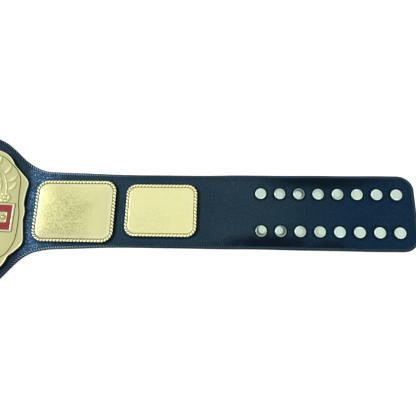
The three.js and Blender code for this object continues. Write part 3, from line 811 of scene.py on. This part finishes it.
def makeStitches(name, level, sign):
    work = strapWork
    line = resampled(outline - outwardOf(outline) * work["stitchInset"], work["stitchPitch"])
    forward = unit(np.roll(line, -1, 0) - np.roll(line, 1, 0))
    turn = math.radians(work["stitchDegrees"]) * sign
    ahead = forward * math.cos(turn) + quarterTurn(forward) * math.sin(turn)
    aside = quarterTurn(ahead)
    rows = []
    for place in np.linspace(-1, 1, 7):
        width = work["stitchWidth"] / 2 * math.sqrt(max(0.15, 1 - place**4))
        middle = line + ahead * (place * work["stitchLength"] / 2)
        rise = work["stitchRise"] * (1 - place**2) - 0.12
        corners = [(width * math.cos(a), level + sign * (rise + width * math.sin(a)))
                   for a in np.arange(6) * math.pi / 3]
        rows.append(np.stack([raised(middle + aside * out, height) for out, height in corners], 1))
    block = np.stack(rows, 1)  # stitch, station, corner, coordinate
    points = block.reshape(-1, 3)
    if sign > 0:
        settled(points)
    _, faces = skin(list(block[0]), closed=True)
    size = block.shape[1] * block.shape[2]
    body = Body()
    body.add(points, [[i + m * size for i in face] for m in range(len(line)) for face in faces])
    showPiece(name, body.build(name, [thread], sharp=80), "leather")


# Main plate: a cast body with a raised tier and relief on it
plate = {
    "halfWidth": 131,
    "halfHeight": 104,
    "bottom": belt["thickness"] + belt["seatGap"],
    "thickness": 3.2,
    "tier": 1.0,
    "outlineStep": 1.3,
    "capStep": 3.0,
    "sink": 0.35,
}
tierTop = plate["bottom"] + plate["thickness"] + plate["tier"]
# Outline of the right half, clockwise from the top: end of each arc in shares of the half
# sizes, and the arc's bulge as a share of its chord
plateArcs = [
    (0.35, 0.945, 0.04), (0.55, 0.8, 0.14), (0.812, 0.6, 0.17), (0.955, 0.41, 0), (0.975, 0.288, 0.13),
    (0.961, 0.055, -0.02), (0.974, -0.14, 0.09), (1, -0.375, 0), (0.962, -0.535, 0.15),
    (0.878, -0.635, 0.03), (0.67, -0.885, 0.16), (0.38, -0.95, 0.12), (0, -1, 0.03),
]
tierRows = [
    (0, 0.9), (0.34, 0.86), (0.66, 0.715), (0.77, 0.62), (0.859, 0.5), (0.898, 0.37), (0.902, 0.19),
    (0.914, 0.035), (0.931, -0.1), (0.931, -0.37), (0.898, -0.52), (0.822, -0.645), (0.6, -0.8),
    (0.3, -0.885), (0, -0.91),
]
plateHalves = np.array([plate["halfWidth"], plate["halfHeight"]])


def plateContour():
    points = [plateHalves * [0, 1]]
    for x, y, bulge in plateArcs:
        start, chord = points[-1], plateHalves * [x, y] - points[-1]
        outward = np.array([-chord[1], chord[0]])
        halfTurn = 2 * math.atan(2 * bulge)
        for i in range(1, 11):
            place, out = i / 10, 0
            if bulge != 0:
                turn = halfTurn * (2 * i / 10 - 1)
                place = 0.5 + math.sin(turn) / (2 * math.sin(halfTurn))
                out = (math.cos(turn) - math.cos(halfTurn)) / (2 * math.sin(halfTurn))
            points.append(start + chord * place + outward * out)
    return softened(resampled(mirrored(np.array(points)[::-1]), plate["outlineStep"]), 3)


def tierContour():
    return resampled(catmullRom(mirrored(np.array(tierRows)[::-1] * plateHalves), 12), plate["outlineStep"])


# Edge sections: inset from the contour, height above the plate's bottom, and shading: 1 tarnish and
# painted shade, -1 a painted highlight
plateEdge = [
    (0.9, 0, 1), (0.25, 0.12, 1), (0, 0.55, 1), (0, 1.8, 1), (0.08, 2.3, 0.7), (0.25, 2.65, -0.3),
    (0.5, 2.92, -1), (0.9, 3.12, -1), (1.5, 3.2, -0.5), (2.1, 3.2, 0),
]
tierEdge = [
    (-1.2, 3.2, 0), (-0.8, 3.2, 0.5), (-0.4, 3.25, 1), (-0.1, 3.42, 1), (0, 3.7, 1), (0.08, 3.95, 1),
    (0.3, 4.13, 0.5), (0.75, 4.2, 0),
]


def footShade(points, fade=0.45):  # painted shade at the foot of the relief
    return np.clip(1 - (points[:, 2] - tierTop - 0.05) / fade, 0, 1)


def addPlateBase(body):
    loops = []
    for line, edge in ((plateContour(), plateEdge), (tierContour(), tierEdge)):
        rings = ringsOf(line, edge, plate["bottom"])
        body.add(*skin(rings), hollow=np.repeat([shade for *_, shade in edge], len(line)))
        loops += [rings[0][:, :2], rings[-1][:, :2]]
    foot, brow, step, top = loops
    addCap(body, foot, [], plate["bottom"], 7)
    addCap(body, brow, [step], plate["bottom"] + plate["thickness"], plate["capStep"])
    addCap(body, top, [], tierTop, plate["capStep"])


def circle(radius, count, x=0.0, y=0.0):
    angle = np.arange(count) * 2 * math.pi / count
    return np.stack([x + radius * np.cos(angle), y + radius * np.sin(angle)], 1)


def addFrame(body, contour, rows, paintedHighlight=-0.3):  # a closed section on the tier, swept round a contour, with a painted highlight along its top and painted shade at its foot
    points, faces = skin(ringsOf(contour, rows, tierTop), wrapRows=True)
    top = points[:, 2].max() - 0.12
    body.add(points, faces, hollow=np.where(points[:, 2] > top, paintedHighlight, footShade(points)))


def addMound(body, contour, rows):  # rings on the tier, stacked and scaled about the belt's middle
    points, faces = skin([raised(contour * scale, tierTop + h) for scale, h in rows], closed=True)
    body.add(points, faces, hollow=footShade(points))


medallion = {"radius": 46, "rim": 4, "height": 1.6, "starRadius": 34, "starWaist": 0.42, "starHeight": 2.0}


def starContour(radius):
    reach = np.where(np.arange(10) % 2 == 0, radius, radius * medallion["starWaist"])
    angle = math.pi / 2 + math.pi * np.arange(10) / 5
    corners = np.stack([reach * np.cos(angle), reach * np.sin(angle)], 1)
    sides = [corners + (np.roll(corners, -1, 0) - corners) * k / 8 for k in range(8)]
    return np.stack(sides, 1).reshape(-1, 2)


def addMedallion(body):
    rim, high, low = medallion["rim"], medallion["height"], -plate["sink"]
    rows = [
        (-1.1, low), (-1.0, 0.01), (-0.5, 0.03), (-0.1, 0.15), (0, 0.6), (0.05, high - 0.45),
        (0.25, high - 0.15), (0.7, high), (1.25, high - 0.05), (1.5, high - 0.35), (1.75, high - 0.35),
        (2.0, high - 0.1), (2.6, high), (rim - 0.5, high - 0.2), (rim - 0.15, high - 0.55),
        (rim, 0.3), (rim + 0.3, 0), (rim + 0.5, low),
    ]
    addFrame(body, circle(medallion["radius"], 160), rows)
    line = [(0, low), (0.1, 0.05), (0.3, 0.28), (0.6, 0.28), (0.8, 0.05), (0.9, low)]
    addFrame(body, circle(medallion["radius"] - rim - 2.2, 140), line)
    top = 0.985
    rise = (medallion["starHeight"] - 0.4) / top
    slopes = [(scale, 0.4 + rise * (top - scale)) for scale in (0.8, 0.6, 0.4, 0.2, 0.02)]
    addMound(body, starContour(medallion["starRadius"]), [(1.03, low), (1.0, 0.12), (top, 0.4), *slopes])


cartouche = {
    "length": 47, "height": 39, "corner": 1.2, "rim": 2.4, "rise": 1.2, "x": 92.4, "y": -14,
    "panelX": 93.0, "panelLength": 30, "panelHeight": 14.4, "panelCorner": 0.8,
    "bosses": 3, "bossRadius": 3.6, "bossRise": 1.25,
}


def roundedBox(box, stations):
    # places and outward directions; stations 0, 2, 4 and 6 start a side, 1, 3, 5 and 7 a corner
    length, height, radius = box
    leg = np.floor(stations).astype(int)
    share = (stations - leg)[:, None]
    facing = leg // 2 * math.pi / 2
    across = np.stack([np.cos(facing), np.sin(facing)], 1)
    forward = quarterTurn(across)
    endwise = (leg // 2 % 2 == 0)[:, None]
    reach = np.where(endwise, length, height) / 2 - radius
    half = np.where(endwise, height, length) / 2 - radius
    straight = (leg % 2 == 0)[:, None]
    angle = np.where(straight, 0, share * math.pi / 2)
    outward = across * np.cos(angle) + forward * np.sin(angle)
    return across * reach + forward * half * np.where(straight, 2 * share - 1, 1) + outward * radius, outward


def boxKnots(box):  # lengths from the first side's start to each station, and the whole way round
    length, height, radius = box
    corner = math.pi / 2 * radius
    return np.cumsum([0] + [height - 2 * radius, corner, length - 2 * radius, corner] * 2)


def evenStations(box, count):
    knots = boxKnots(box)
    return np.interp(np.arange(count) / count * knots[-1], knots, np.arange(9))


def joinableBox(box, x, y, steps=16):  # as many points on each side as another box, to be joined to it
    side = np.concatenate([np.arange(steps) / steps, 1 + np.arange(5) / 5])
    return roundedBox(box, np.concatenate([side + 2 * k for k in range(4)]))[0] + [x, y]


def addLathe(body, profile, sides, x=0.0, y=0.0):  # rows of radius, height and shade
    points, faces = skin([raised(circle(max(r, 0.001), sides, x, y), z) for r, z, _ in profile])
    body.add(points, faces, hollow=np.repeat([shade for *_, shade in profile], sides))


# A boss of the panel: shares of its radius and of its rise, and painted shading: above 0 painted shade,
# below 0 a painted highlight
bossRows = [
    (1, -0.2, 1), (1, 0.12, 1), (0.96, 0.6, 0.4), (0.88, 0.85, -0.3), (0.78, 0.85, 0.2), (0.7, 0.55, 0.8),
    (0.62, 0.5, 0.9), (0.55, 0.72, 0.3), (0.42, 0.93, -0.2), (0.22, 1, -0.3), (0, 1, -0.3),
]


def addCartouche(body, side):
    c = cartouche
    low, high, rim = -plate["sink"], c["rise"], c["rim"]
    rows = [
        (-1.0, low), (-0.9, 0.01), (-0.4, 0.03), (-0.1, 0.12), (0, 0.45), (0.08, high - 0.3),
        (0.35, high - 0.06), (0.8, high), (rim - 0.8, high), (rim - 0.35, high - 0.06),
        (rim - 0.08, high - 0.3), (rim, 0.4), (rim, low),
    ]
    box = (c["length"], c["height"], c["corner"])
    addFrame(body, joinableBox(box, side * c["x"], c["y"]), rows, paintedHighlight=-0.45)
    border = [
        (0, low), (0, high - 0.25), (0.2, high - 0.04), (0.45, high + 0.05), (0.95, high + 0.05),
        (1.2, high - 0.05), (1.35, high - 0.3), (1.6, high - 0.4),
    ]
    box = (c["panelLength"], c["panelHeight"], c["panelCorner"])
    rings = ringsOf(joinableBox(box, side * c["panelX"], c["y"], 14), border, tierTop)
    points, faces = skin(rings)
    # painted highlight along the top of the panel's border, painted shade below it
    body.add(points, faces, hollow=np.where(points[:, 2] > tierTop + high, -0.6, 0.35))
    body.add(rings[0], [list(range(len(rings[0])))[::-1]])
    floor = tierTop + border[-1][1]
    addCap(body, rings[-1][:, :2], [], floor, 2.6)
    profile = [(r * c["bossRadius"], floor + h * c["bossRise"], shade) for r, h, shade in bossRows]
    for i in range(c["bosses"]):
        x = side * c["panelX"] + (i - (c["bosses"] - 1) / 2) * c["panelLength"] / c["bosses"]
        addLathe(body, profile, 36, x, c["y"])
        body.add(raised(circle(profile[0][0], 36, x, c["y"]), profile[0][1]), [list(range(36))[::-1]])


rosette = {"radius": 7.2, "rise": 2.0, "x": 101.5, "y": 13.7, "petals": 6}


def addRosette(body, side):
    r = rosette
    count = r["petals"] * 14
    angle = np.arange(count) * 2 * math.pi / count
    lobes = np.abs(np.cos(r["petals"] * angle / 2))
    reach = r["radius"] * (0.84 + 0.16 * lobes**0.6)
    rings = []
    for share in (1.04, 1.0, 0.96, 0.88, 0.76, 0.62, 0.5, 0.42, 0.38, 0.33, 0.26, 0.15, 0.02):
        height = 0 * lobes
        if share > 1.0:
            height -= plate["sink"]
        elif share == 1.0:
            height += 0.12
        elif share > 0.4:
            petal = math.sin(math.pi * min(1.0, (1.04 - share) / 0.62)) ** 0.6
            height = r["rise"] * (0.2 + 0.62 * petal * (0.45 + 0.55 * lobes**0.7))
        else:
            height += r["rise"] * (0.35 + 0.65 * math.sqrt(1 - (share / 0.4) ** 2.5))
        x = side * r["x"] + share * reach * np.cos(angle)
        y = r["y"] + share * reach * np.sin(angle)
        rings.append(np.stack([x, y, tierTop + height], 1))
    points, faces = skin(rings, closed=True)
    body.add(points, faces, hollow=footShade(points, 0.8))


leaf = {"length": 17, "width": 6.4, "rise": 1.1, "curl": 1.1, "veins": 6}
# Leaves of the right half: stalk in shares of the plate's half sizes, direction in degrees
leafRows = [
    (0.8, 0.225, 60), (0.72, 0.25, 100), (0.785, 0.34, 52), (0.7, 0.38, 112), (0.73, 0.45, 62),
    (0.61, 0.49, 125), (0.64, 0.56, 75), (0.52, 0.59, 140), (0.54, 0.66, 98),
]
# Half the width of a leaf along its length
leafEdge = np.array([
    (0, 0.1), (0.08, 0.36), (0.2, 0.72), (0.35, 0.96), (0.5, 0.99), (0.65, 0.84), (0.8, 0.56), (0.92, 0.25),
    (1, 0.03),
])


def addLeaf(body, x, y, turn, side):
    long = np.linspace(0, 1, 22)
    wide = np.array([-1, -0.97, -0.85, -0.65, -0.45, -0.25, -0.1, 0, 0.1, 0.25, 0.45, 0.65, 0.85, 0.97, 1])
    u, v = np.meshgrid(long, wide, indexing="ij")
    half = (np.interp(long, leafEdge[:, 0], leafEdge[:, 1]) * leaf["width"] / 2)[:, None]
    flatX = u * leaf["length"]
    flatY = v * half + leaf["curl"] * np.sin(math.pi * u) * (1 if turn > 90 else -1)
    crown = 1 - np.abs(v) ** 2.4
    veins = 0.10 * np.sin(2 * math.pi * (leaf["veins"] * u - 0.9 * np.abs(v)))
    veins *= (1 - np.abs(v) ** 4) * np.sin(math.pi * u)
    rib = np.exp(-((v * half / 0.38) ** 2))
    lift = 0.35 + 0.65 * np.sin(math.pi * np.clip(u * 0.9 + 0.08, 0, 1))
    height = leaf["rise"] * (0.30 + (0.42 * crown + veins + 0.42 * rib) * lift)
    angle = math.radians(turn)
    px = side * (x * plate["halfWidth"] + flatX * math.cos(angle) - flatY * math.sin(angle))
    py = y * plate["halfHeight"] + flatX * math.sin(angle) + flatY * math.cos(angle)
    top = np.stack([px, py, tierTop + height], 2).reshape(-1, 3)
    points = np.concatenate([top, raised(top[:, :2], tierTop - plate["sink"])])
    rows, columns = u.shape
    size = rows * columns
    i, j = np.meshgrid(np.arange(rows - 1), np.arange(columns - 1), indexing="ij")
    a = (i * columns + j).ravel()
    quads = np.stack([a, a + columns, a + columns + 1, a + 1], 1)
    loop = [*range(columns), *range(2 * columns - 1, size, columns)]
    loop += [*range(size - 2, size - columns - 1, -1), *range(size - 2 * columns, 0, -columns)]
    walls = [[a, b, b + size, a + size] for a, b in zip(loop, loop[1:] + loop[:1])]
    shade = footShade(points, 0.75)
    # painted highlight along the leaf's rib
    shade[:size] -= 0.4 * (rib * lift).ravel()
    body.add(points, quads.tolist() + (quads[:, ::-1] + size).tolist() + walls, hollow=shade)


# The laurel's stalk, in shares of the plate's half sizes
stalkRows = np.array([(0.775, 0.19), (0.765, 0.3), (0.745, 0.41), (0.70, 0.50), (0.63, 0.585), (0.56, 0.65)])


def addStalk(body, side):
    knots = stalkRows * plateHalves * [side, 1]
    t = np.linspace(0, 1, 40)
    spread = np.linspace(0, 1, len(knots))
    line = np.stack([np.polyval(np.polyfit(spread, knots[:, k], 3), t) for k in (0, 1)], 1)
    aside = quarterTurn(unit(np.gradient(line, axis=0))) * (0.85 - 0.35 * t)[:, None]
    section = [(1.5, -plate["sink"]), (1.25, 0.05), (0.9, 0.45), (0.4, 0.72)]
    section += [(-out, height) for out, height in section[::-1]]
    rings = np.stack([raised(line + aside * out, tierTop + height) for out, height in section], 1)
    points, faces = skin(list(rings), closed=True)
    body.add(points, faces, hollow=footShade(points))


def makeMainPlate():
    body = Body()
    addPlateBase(body)
    addMedallion(body)
    for side in (1, -1):
        addCartouche(body, side)
        addRosette(body, side)
        addStalk(body, side)
        for x, y, turn in leafRows:
            addLeaf(body, x, y, turn, side)
    mesh = body.build("main_plate_cast", [gold["main"]], sharp=38)
    showPiece("main_plate_cast", mesh, "gold", ["main_plate"])


inlay = {"gap": 0.12, "thickness": 0.75, "sag": 0.22, "corner": 0.6}


def makeEnamel(side, word):
    c, gap = cartouche, 2 * inlay["gap"]
    well = (c["length"] - 2 * c["rim"] - gap, c["height"] - 2 * c["rim"] - gap, inlay["corner"])
    island = (c["panelLength"] + gap, c["panelHeight"] + gap, inlay["corner"])
    outer = joinableBox(well, side * c["x"], c["y"])
    inner = joinableBox(island, side * c["panelX"], c["y"])
    low, high = tierTop + 0.1, tierTop + 0.2 + inlay["thickness"]
    rings = [raised(outer, low)]
    for share in (0, 0.03, 0.08, 0.16, 0.3, 0.5, 0.7, 0.84, 0.92, 0.97, 1):
        level = high - inlay["sag"] * (1 - abs(2 * share - 1) ** 3)
        rings.append(raised(outer + (inner - outer) * share, level))
    rings.append(raised(inner, low))
    body = Body()
    body.add(*skin(rings, wrapRows=True))
    mesh = body.build(f"enamel_inlay_{word}", [enamel])
    showPiece(f"enamel_inlay_{word}", mesh, "enamel", [f"enamel_{word}"])


makeMainPlate()
makeEnamel(1, "right")
makeEnamel(-1, "left")
print("main plate made")


# Side plates: a twisted rope round a rolled and crowned face. Each box is length, height and corner radius.
sidePlates = {
    "inner": {"box": (113.3, 86.2, 16), "crown": 1.4},
    "outer": {"box": (98.2, 72.7, 14), "crown": 0.4},
}
rope = {"width": 4.0, "height": 3.9, "pitch": 4.7, "perPitch": 10, "around": 24, "groove": 0.52}
face = {"inset": 4.6, "slab": 1.5, "level": 3.0}


def addRope(body, box):
    turns = round(boxKnots(box)[-1] / rope["pitch"])
    count = turns * rope["perPitch"]
    points, outward = roundedBox(box, evenStations(box, count))
    radius = rope["width"] / 2
    theta = np.arange(rope["around"]) * 2 * math.pi / rope["around"]
    phase = 2 * math.pi * turns * (np.arange(count) / count)[:, None] - theta
    ridge = np.abs(np.cos(phase / 2)) ** 0.8
    reach = radius * (1 - rope["groove"] * (1 - ridge))
    xy = (points - outward * radius)[:, None] + outward[:, None] * (reach * np.cos(theta))[..., None]
    z = np.maximum(rope["height"] - radius + reach * np.sin(theta), 0.05)
    grid, faces = skin(list(np.concatenate([xy, z[..., None]], 2)), wrapRows=True)
    # painted shade in the grooves and on the inward side, painted highlight on the crests and the outward
    # side
    outside, inward = np.maximum(0, np.cos(theta)), np.maximum(0, -np.cos(theta))
    body.add(grid, faces, hollow=np.clip(1.5 - 2.4 * ridge - 0.3 * outside + 0.5 * inward, -1, 1).ravel())


def addFace(body, box, crown):
    points, outward = roundedBox(box, evenStations(box, 240))
    inset, slab, level = face["inset"], face["slab"], face["level"]
    # Rows are inset, height and painted shading: painted shade at the foot and in the groove, a painted
    # highlight on the rolled edge
    rows = [
        (1.6, 0.1, 1), (1.6, slab, 1), (inset - 1.2, slab, 0.7), (inset - 0.6, slab, 0.65),
        (inset - 0.1, slab + 0.05, 0.7), (inset, slab + 0.35, 0.5), (inset + 0.1, level - 0.75, 0.15),
        (inset + 0.35, level - 0.32, 0), (inset + 0.8, level - 0.04, -0.4),
        (inset + 1.4, level + 0.12 * crown, -0.35), (inset + 2.2, level + 0.25 * crown, -0.3),
    ]
    rings = [raised(points - outward * depth, height) for depth, height, _ in rows]
    shades = [shade for *_, shade in rows]
    edge = rings[-1][:, :2]
    for share in (0.97, 0.94, 0.87, 0.79, 0.7, 0.6, 0.5, 0.4, 0.3, 0.2, 0.1, 0.02):
        rings.append(raised(edge * share, level + crown * (1 - 0.75 * share**2.4)))
        # painted highlight round the crown's rim
        shades.append(-0.32 * crown * max(0, share - 0.85) / 0.12)
    grid, faces = skin(rings, closed=True)
    body.add(grid, faces, hollow=np.repeat(shades, len(points)))


def makeSidePlates():
    for kind, look in sidePlates.items():
        body = Body()
        addRope(body, look["box"])
        addFace(body, **look)
        mesh = body.build(f"side_plate_cast_{kind}", [gold[kind]], bent=False, sharp=50)
        for word in ("right", "left"):
            node = f"side_plate_{word}_{kind}"
            middle = middleOf(node)
            place = (middle.x, middle.y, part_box(node)[0].z / mm)
            showPiece(f"side_plate_cast_{word}_{kind}", mesh, "gold", [node], place=place)


def plateOutlines():  # outlines of the plates on the strap, shifted to where their shade falls
    shift = [0.9, -0.6]
    outlines = [plateContour() + shift]
    for kind, look in sidePlates.items():
        middle = middleOf(f"side_plate_right_{kind}")
        contour, _ = roundedBox(look["box"], evenStations(look["box"], 260))
        outlines += [contour + [side * (middle.x + archShortening), middle.y] + shift for side in (1, -1)]
    return outlines


makeSidePlates()
print("side plates made")
makeStrap()
makeStitches("stitches_face", belt["thickness"] - strapWork["grooveDepth"], 1)
makeStitches("stitches_back", 0.38, -1)
print("strap and stitches made")


# Snap fasteners, turned. Rows are radius, height above the strap's face and painted shade.
capRows = [
    (0, 0.28, 1), (6.3, 0.28, 1), (6.9, 0.34, 1), (7.3, 0.55, 1), (7.5, 0.95, 1), (7.48, 1.35, 0.75),
    (7.3, 1.8, 0.5), (6.95, 2.18, 0.1), (6.45, 2.42, 0), (5.95, 2.5, 0), (5.5, 2.44, 0), (5.2, 2.3, 0.2),
    (4.95, 2.2, 0.5), (4.7, 2.18, 0.34), (4.0, 2.2, 0.2), (2.8, 2.24, 0.19), (1.4, 2.27, 0.22),
    (0, 2.28, 0.3),
]
socketRows = [
    (0, -5.4, 0.8), (1.5, -5.4, 0.8), (1.7, -5.55, 0.3), (2.1, -5.7, 0), (2.9, -5.7, 0), (3.3, -5.5, 0.1),
    (3.45, -5.0, 0.3), (3.7, -4.8, 0.3), (4.3, -4.7, 0), (4.6, -4.45, 0), (4.6, -3.7, 0), (4.4, -3.35, 0.4),
    (2.2, -3.3, 1), (2.2, 0.28, 1), (0, 0.28, 1),
]
studRows = [
    (0, 0.28, 1), (4.3, 0.28, 1), (4.7, 0.36, 0.4), (4.8, 0.6, 0), (4.6, 0.95, 0), (4.1, 1.15, 0),
    (3.0, 1.2, 0), (2.3, 1.22, 0.3), (1.95, 1.35, 0.6), (1.82, 1.7, 0.5), (1.85, 2.1, 0.2), (2.1, 2.5, 0),
    (2.28, 2.85, 0),
    (2.25, 3.15, 0), (2.0, 3.4, 0), (1.5, 3.5, 0), (0.9, 3.48, 0), (0.7, 3.4, 0.3), (0, 3.36, 0.4),
]
backRows = [
    (0, -4.1, 0), (2.0, -4.08, 0), (3.4, -4.0, 0), (4.3, -3.82, 0), (4.6, -3.6, 0), (4.4, -3.4, 0.4),
    (2.2, -3.3, 1), (2.2, 0.28, 1), (0, 0.28, 1),
]


# Painted dark reflections on the caps, as crescents: three strengths, and which of them each cap has, counted
# outward
reflectionCrescents = {
    "strengths": (0.15, 0.5, 1.0),
    "upper": (0, 1, 2, 1, 1, 0, 0, 0),
    "lower": (2, 2, 1, 1, 0, 0, 0, 0),
}


def turnedMesh(name, profiles, reflectionStrength=0.0):
    body = Body()
    for profile in profiles:
        addLathe(body, profile, 48)
    x, y, z = body.points[0].T
    # a painted dark reflection: a crescent on the top of the cap
    moon = np.clip((np.hypot(x + 2.2, y + 0.4) - 4.2) / 1.6, 0, 1)
    moon *= np.clip((6.9 - np.hypot(x, y)) / 0.7, 0, 1) * (z > 1.9)
    body.hollow[0] = np.maximum(body.hollow[0], reflectionStrength * moon)
    return body.build(name, [nickel], bent=False, sharp=50)


def makeSnaps():
    caps = [turnedMesh(f"snap_cap_turned_{kind}", [capRows, socketRows], strength)
            for kind, strength in enumerate(reflectionCrescents["strengths"])]
    stud = turnedMesh("snap_stud_turned", [studRows, backRows])
    dice = np.random.default_rng(11)
    for node, middle in sorted(capPlaces.items()):
        mesh, lift = stud, belt["liftLeft"]
        if node.startswith("snap_cap"):
            level, number = node.split("_")[-2:]
            mesh, lift = caps[reflectionCrescents[level][int(number) - 1]], belt["liftRight"]
        tilt = dice.uniform(-0.035, 0.035, 2)
        place = (middle.x, middle.y, lift + belt["thickness"])
        turn = (tilt[0], tilt[1], dice.uniform(0, 6.28))
        showPiece(f"{node}_turned", mesh, "nickel", [node], place=place, turn=turn)


makeSnaps()
print("fasteners made")


# Camera at the photograph's angle
shot = {"lens": 28.56, "place": (405.5, -96.1, 439.5), "degrees": (12.99, 3.0, 0.69)}


def makeCamera():
    data = bpy.data.cameras.new("camera")
    data.lens = shot["lens"]
    data.sensor_width = 36
    data.clip_start = 0.01
    data.clip_end = 50
    camera = linked("camera", data)
    turns = [Matrix.Rotation(math.radians(angle), 4, axis) for angle, axis in zip(shot["degrees"], "XYZ")]
    camera.matrix_world = Matrix.Translation(Vector(shot["place"]) * mm) @ turns[0] @ turns[1] @ turns[2]
    bpy.context.scene.camera = camera


# Soft studio light from the upper left, over a white floor
studio = {
    "skyTop": 0.95,
    "skyRim": 1.05,
    "skyLean": 0.12,
    "skySeen": 0.95,
    "gap": {"towards": (-0.36, 0.14, 0.92), "width": 0.38, "depth": 0.25},
    "floorDrop": 0.6,
    "floorGlow": 0.5,
    "floorHalf": 8.0,
}
lamps = [
    {"name": "key", "place": (-1137, 260, 1204), "aim": (200, 0, 0), "size": 420, "watts": 30,
     "only": "leather"},
    {"name": "window", "place": (-1350, 300, 900), "aim": (200, 0, 0), "size": 800, "watts": 11, "only": ""},
    {"name": "fill", "place": (1300, -700, 1400), "aim": (450, 0, 0), "size": 1300, "watts": 4, "only": ""},
]


def makeSky():
    world = bpy.data.worlds.new("studio")
    bpy.context.scene.world = world
    world.use_nodes = True
    sky = Finish("studio", world.node_tree)
    direction = sky.node("TexCoord", output="Generated")
    up = sky.axis("Z", direction)
    gap = studio["gap"]
    level = studio["skyRim"] + (studio["skyTop"] - studio["skyRim"]) * sky.between(up, 0.0, 0.65)
    level = level - studio["skyLean"] * sky.axis("X", direction) * (1 - up)
    apart = sky.vector("DISTANCE", direction, Vector(gap["towards"]).normalized())
    level = level * (1 - gap["depth"] * (1 - sky.between(apart, 0.0, gap["width"])))
    seen = sky.node("LightPath", output="Is Camera Ray")
    strength = level + seen * (studio["skySeen"] - level)
    background = sky.node("Background", {"Color": (1, 1, 1, 1), "Strength": strength})
    sky.node("OutputWorld", {"Surface": background})


def makeLamp(name, place, aim, size, watts, only):
    light = bpy.data.lights.new(name, "AREA")
    light.shape = "DISK"
    light.size = size * mm
    light.energy = watts
    lamp = linked(name, light)
    if only:
        lamp.light_linking.receiver_collection = slotPieces[only]
    lamp.location = Vector(place) * mm
    lamp.rotation_euler = (Vector(aim) - Vector(place)).to_track_quat("-Z", "Y").to_euler()


def makeFloor():
    finish = Finish("studio_floor")
    fibre = finish.noise(3)
    paper = finish.surface({
        "Base Color": finish.mix(fibre, (0.80, 0.80, 0.80), (0.83, 0.83, 0.83)),
        "Roughness": 0.8,
        "Specular IOR Level": 0.1,
        "Emission Color": (1, 1, 1, 1),
        "Emission Strength": studio["floorGlow"],
    })
    half, low = studio["floorHalf"], -studio["floorDrop"] * mm
    corners = [(-half, -half, low), (half, -half, low), (half, half, low), (-half, half, low)]
    mesh = bpy.data.meshes.new("studio_floor")
    mesh.from_pydata(corners, [], [(0, 1, 2, 3)])
    mesh.materials.append(paper)
    linked("studio_floor", mesh)


makeCamera()
makeSky()
for lamp in lamps:
    makeLamp(**lamp)
makeFloor()
bpy.context.scene.view_settings.view_transform = "Standard"
print("camera, light and floor made")
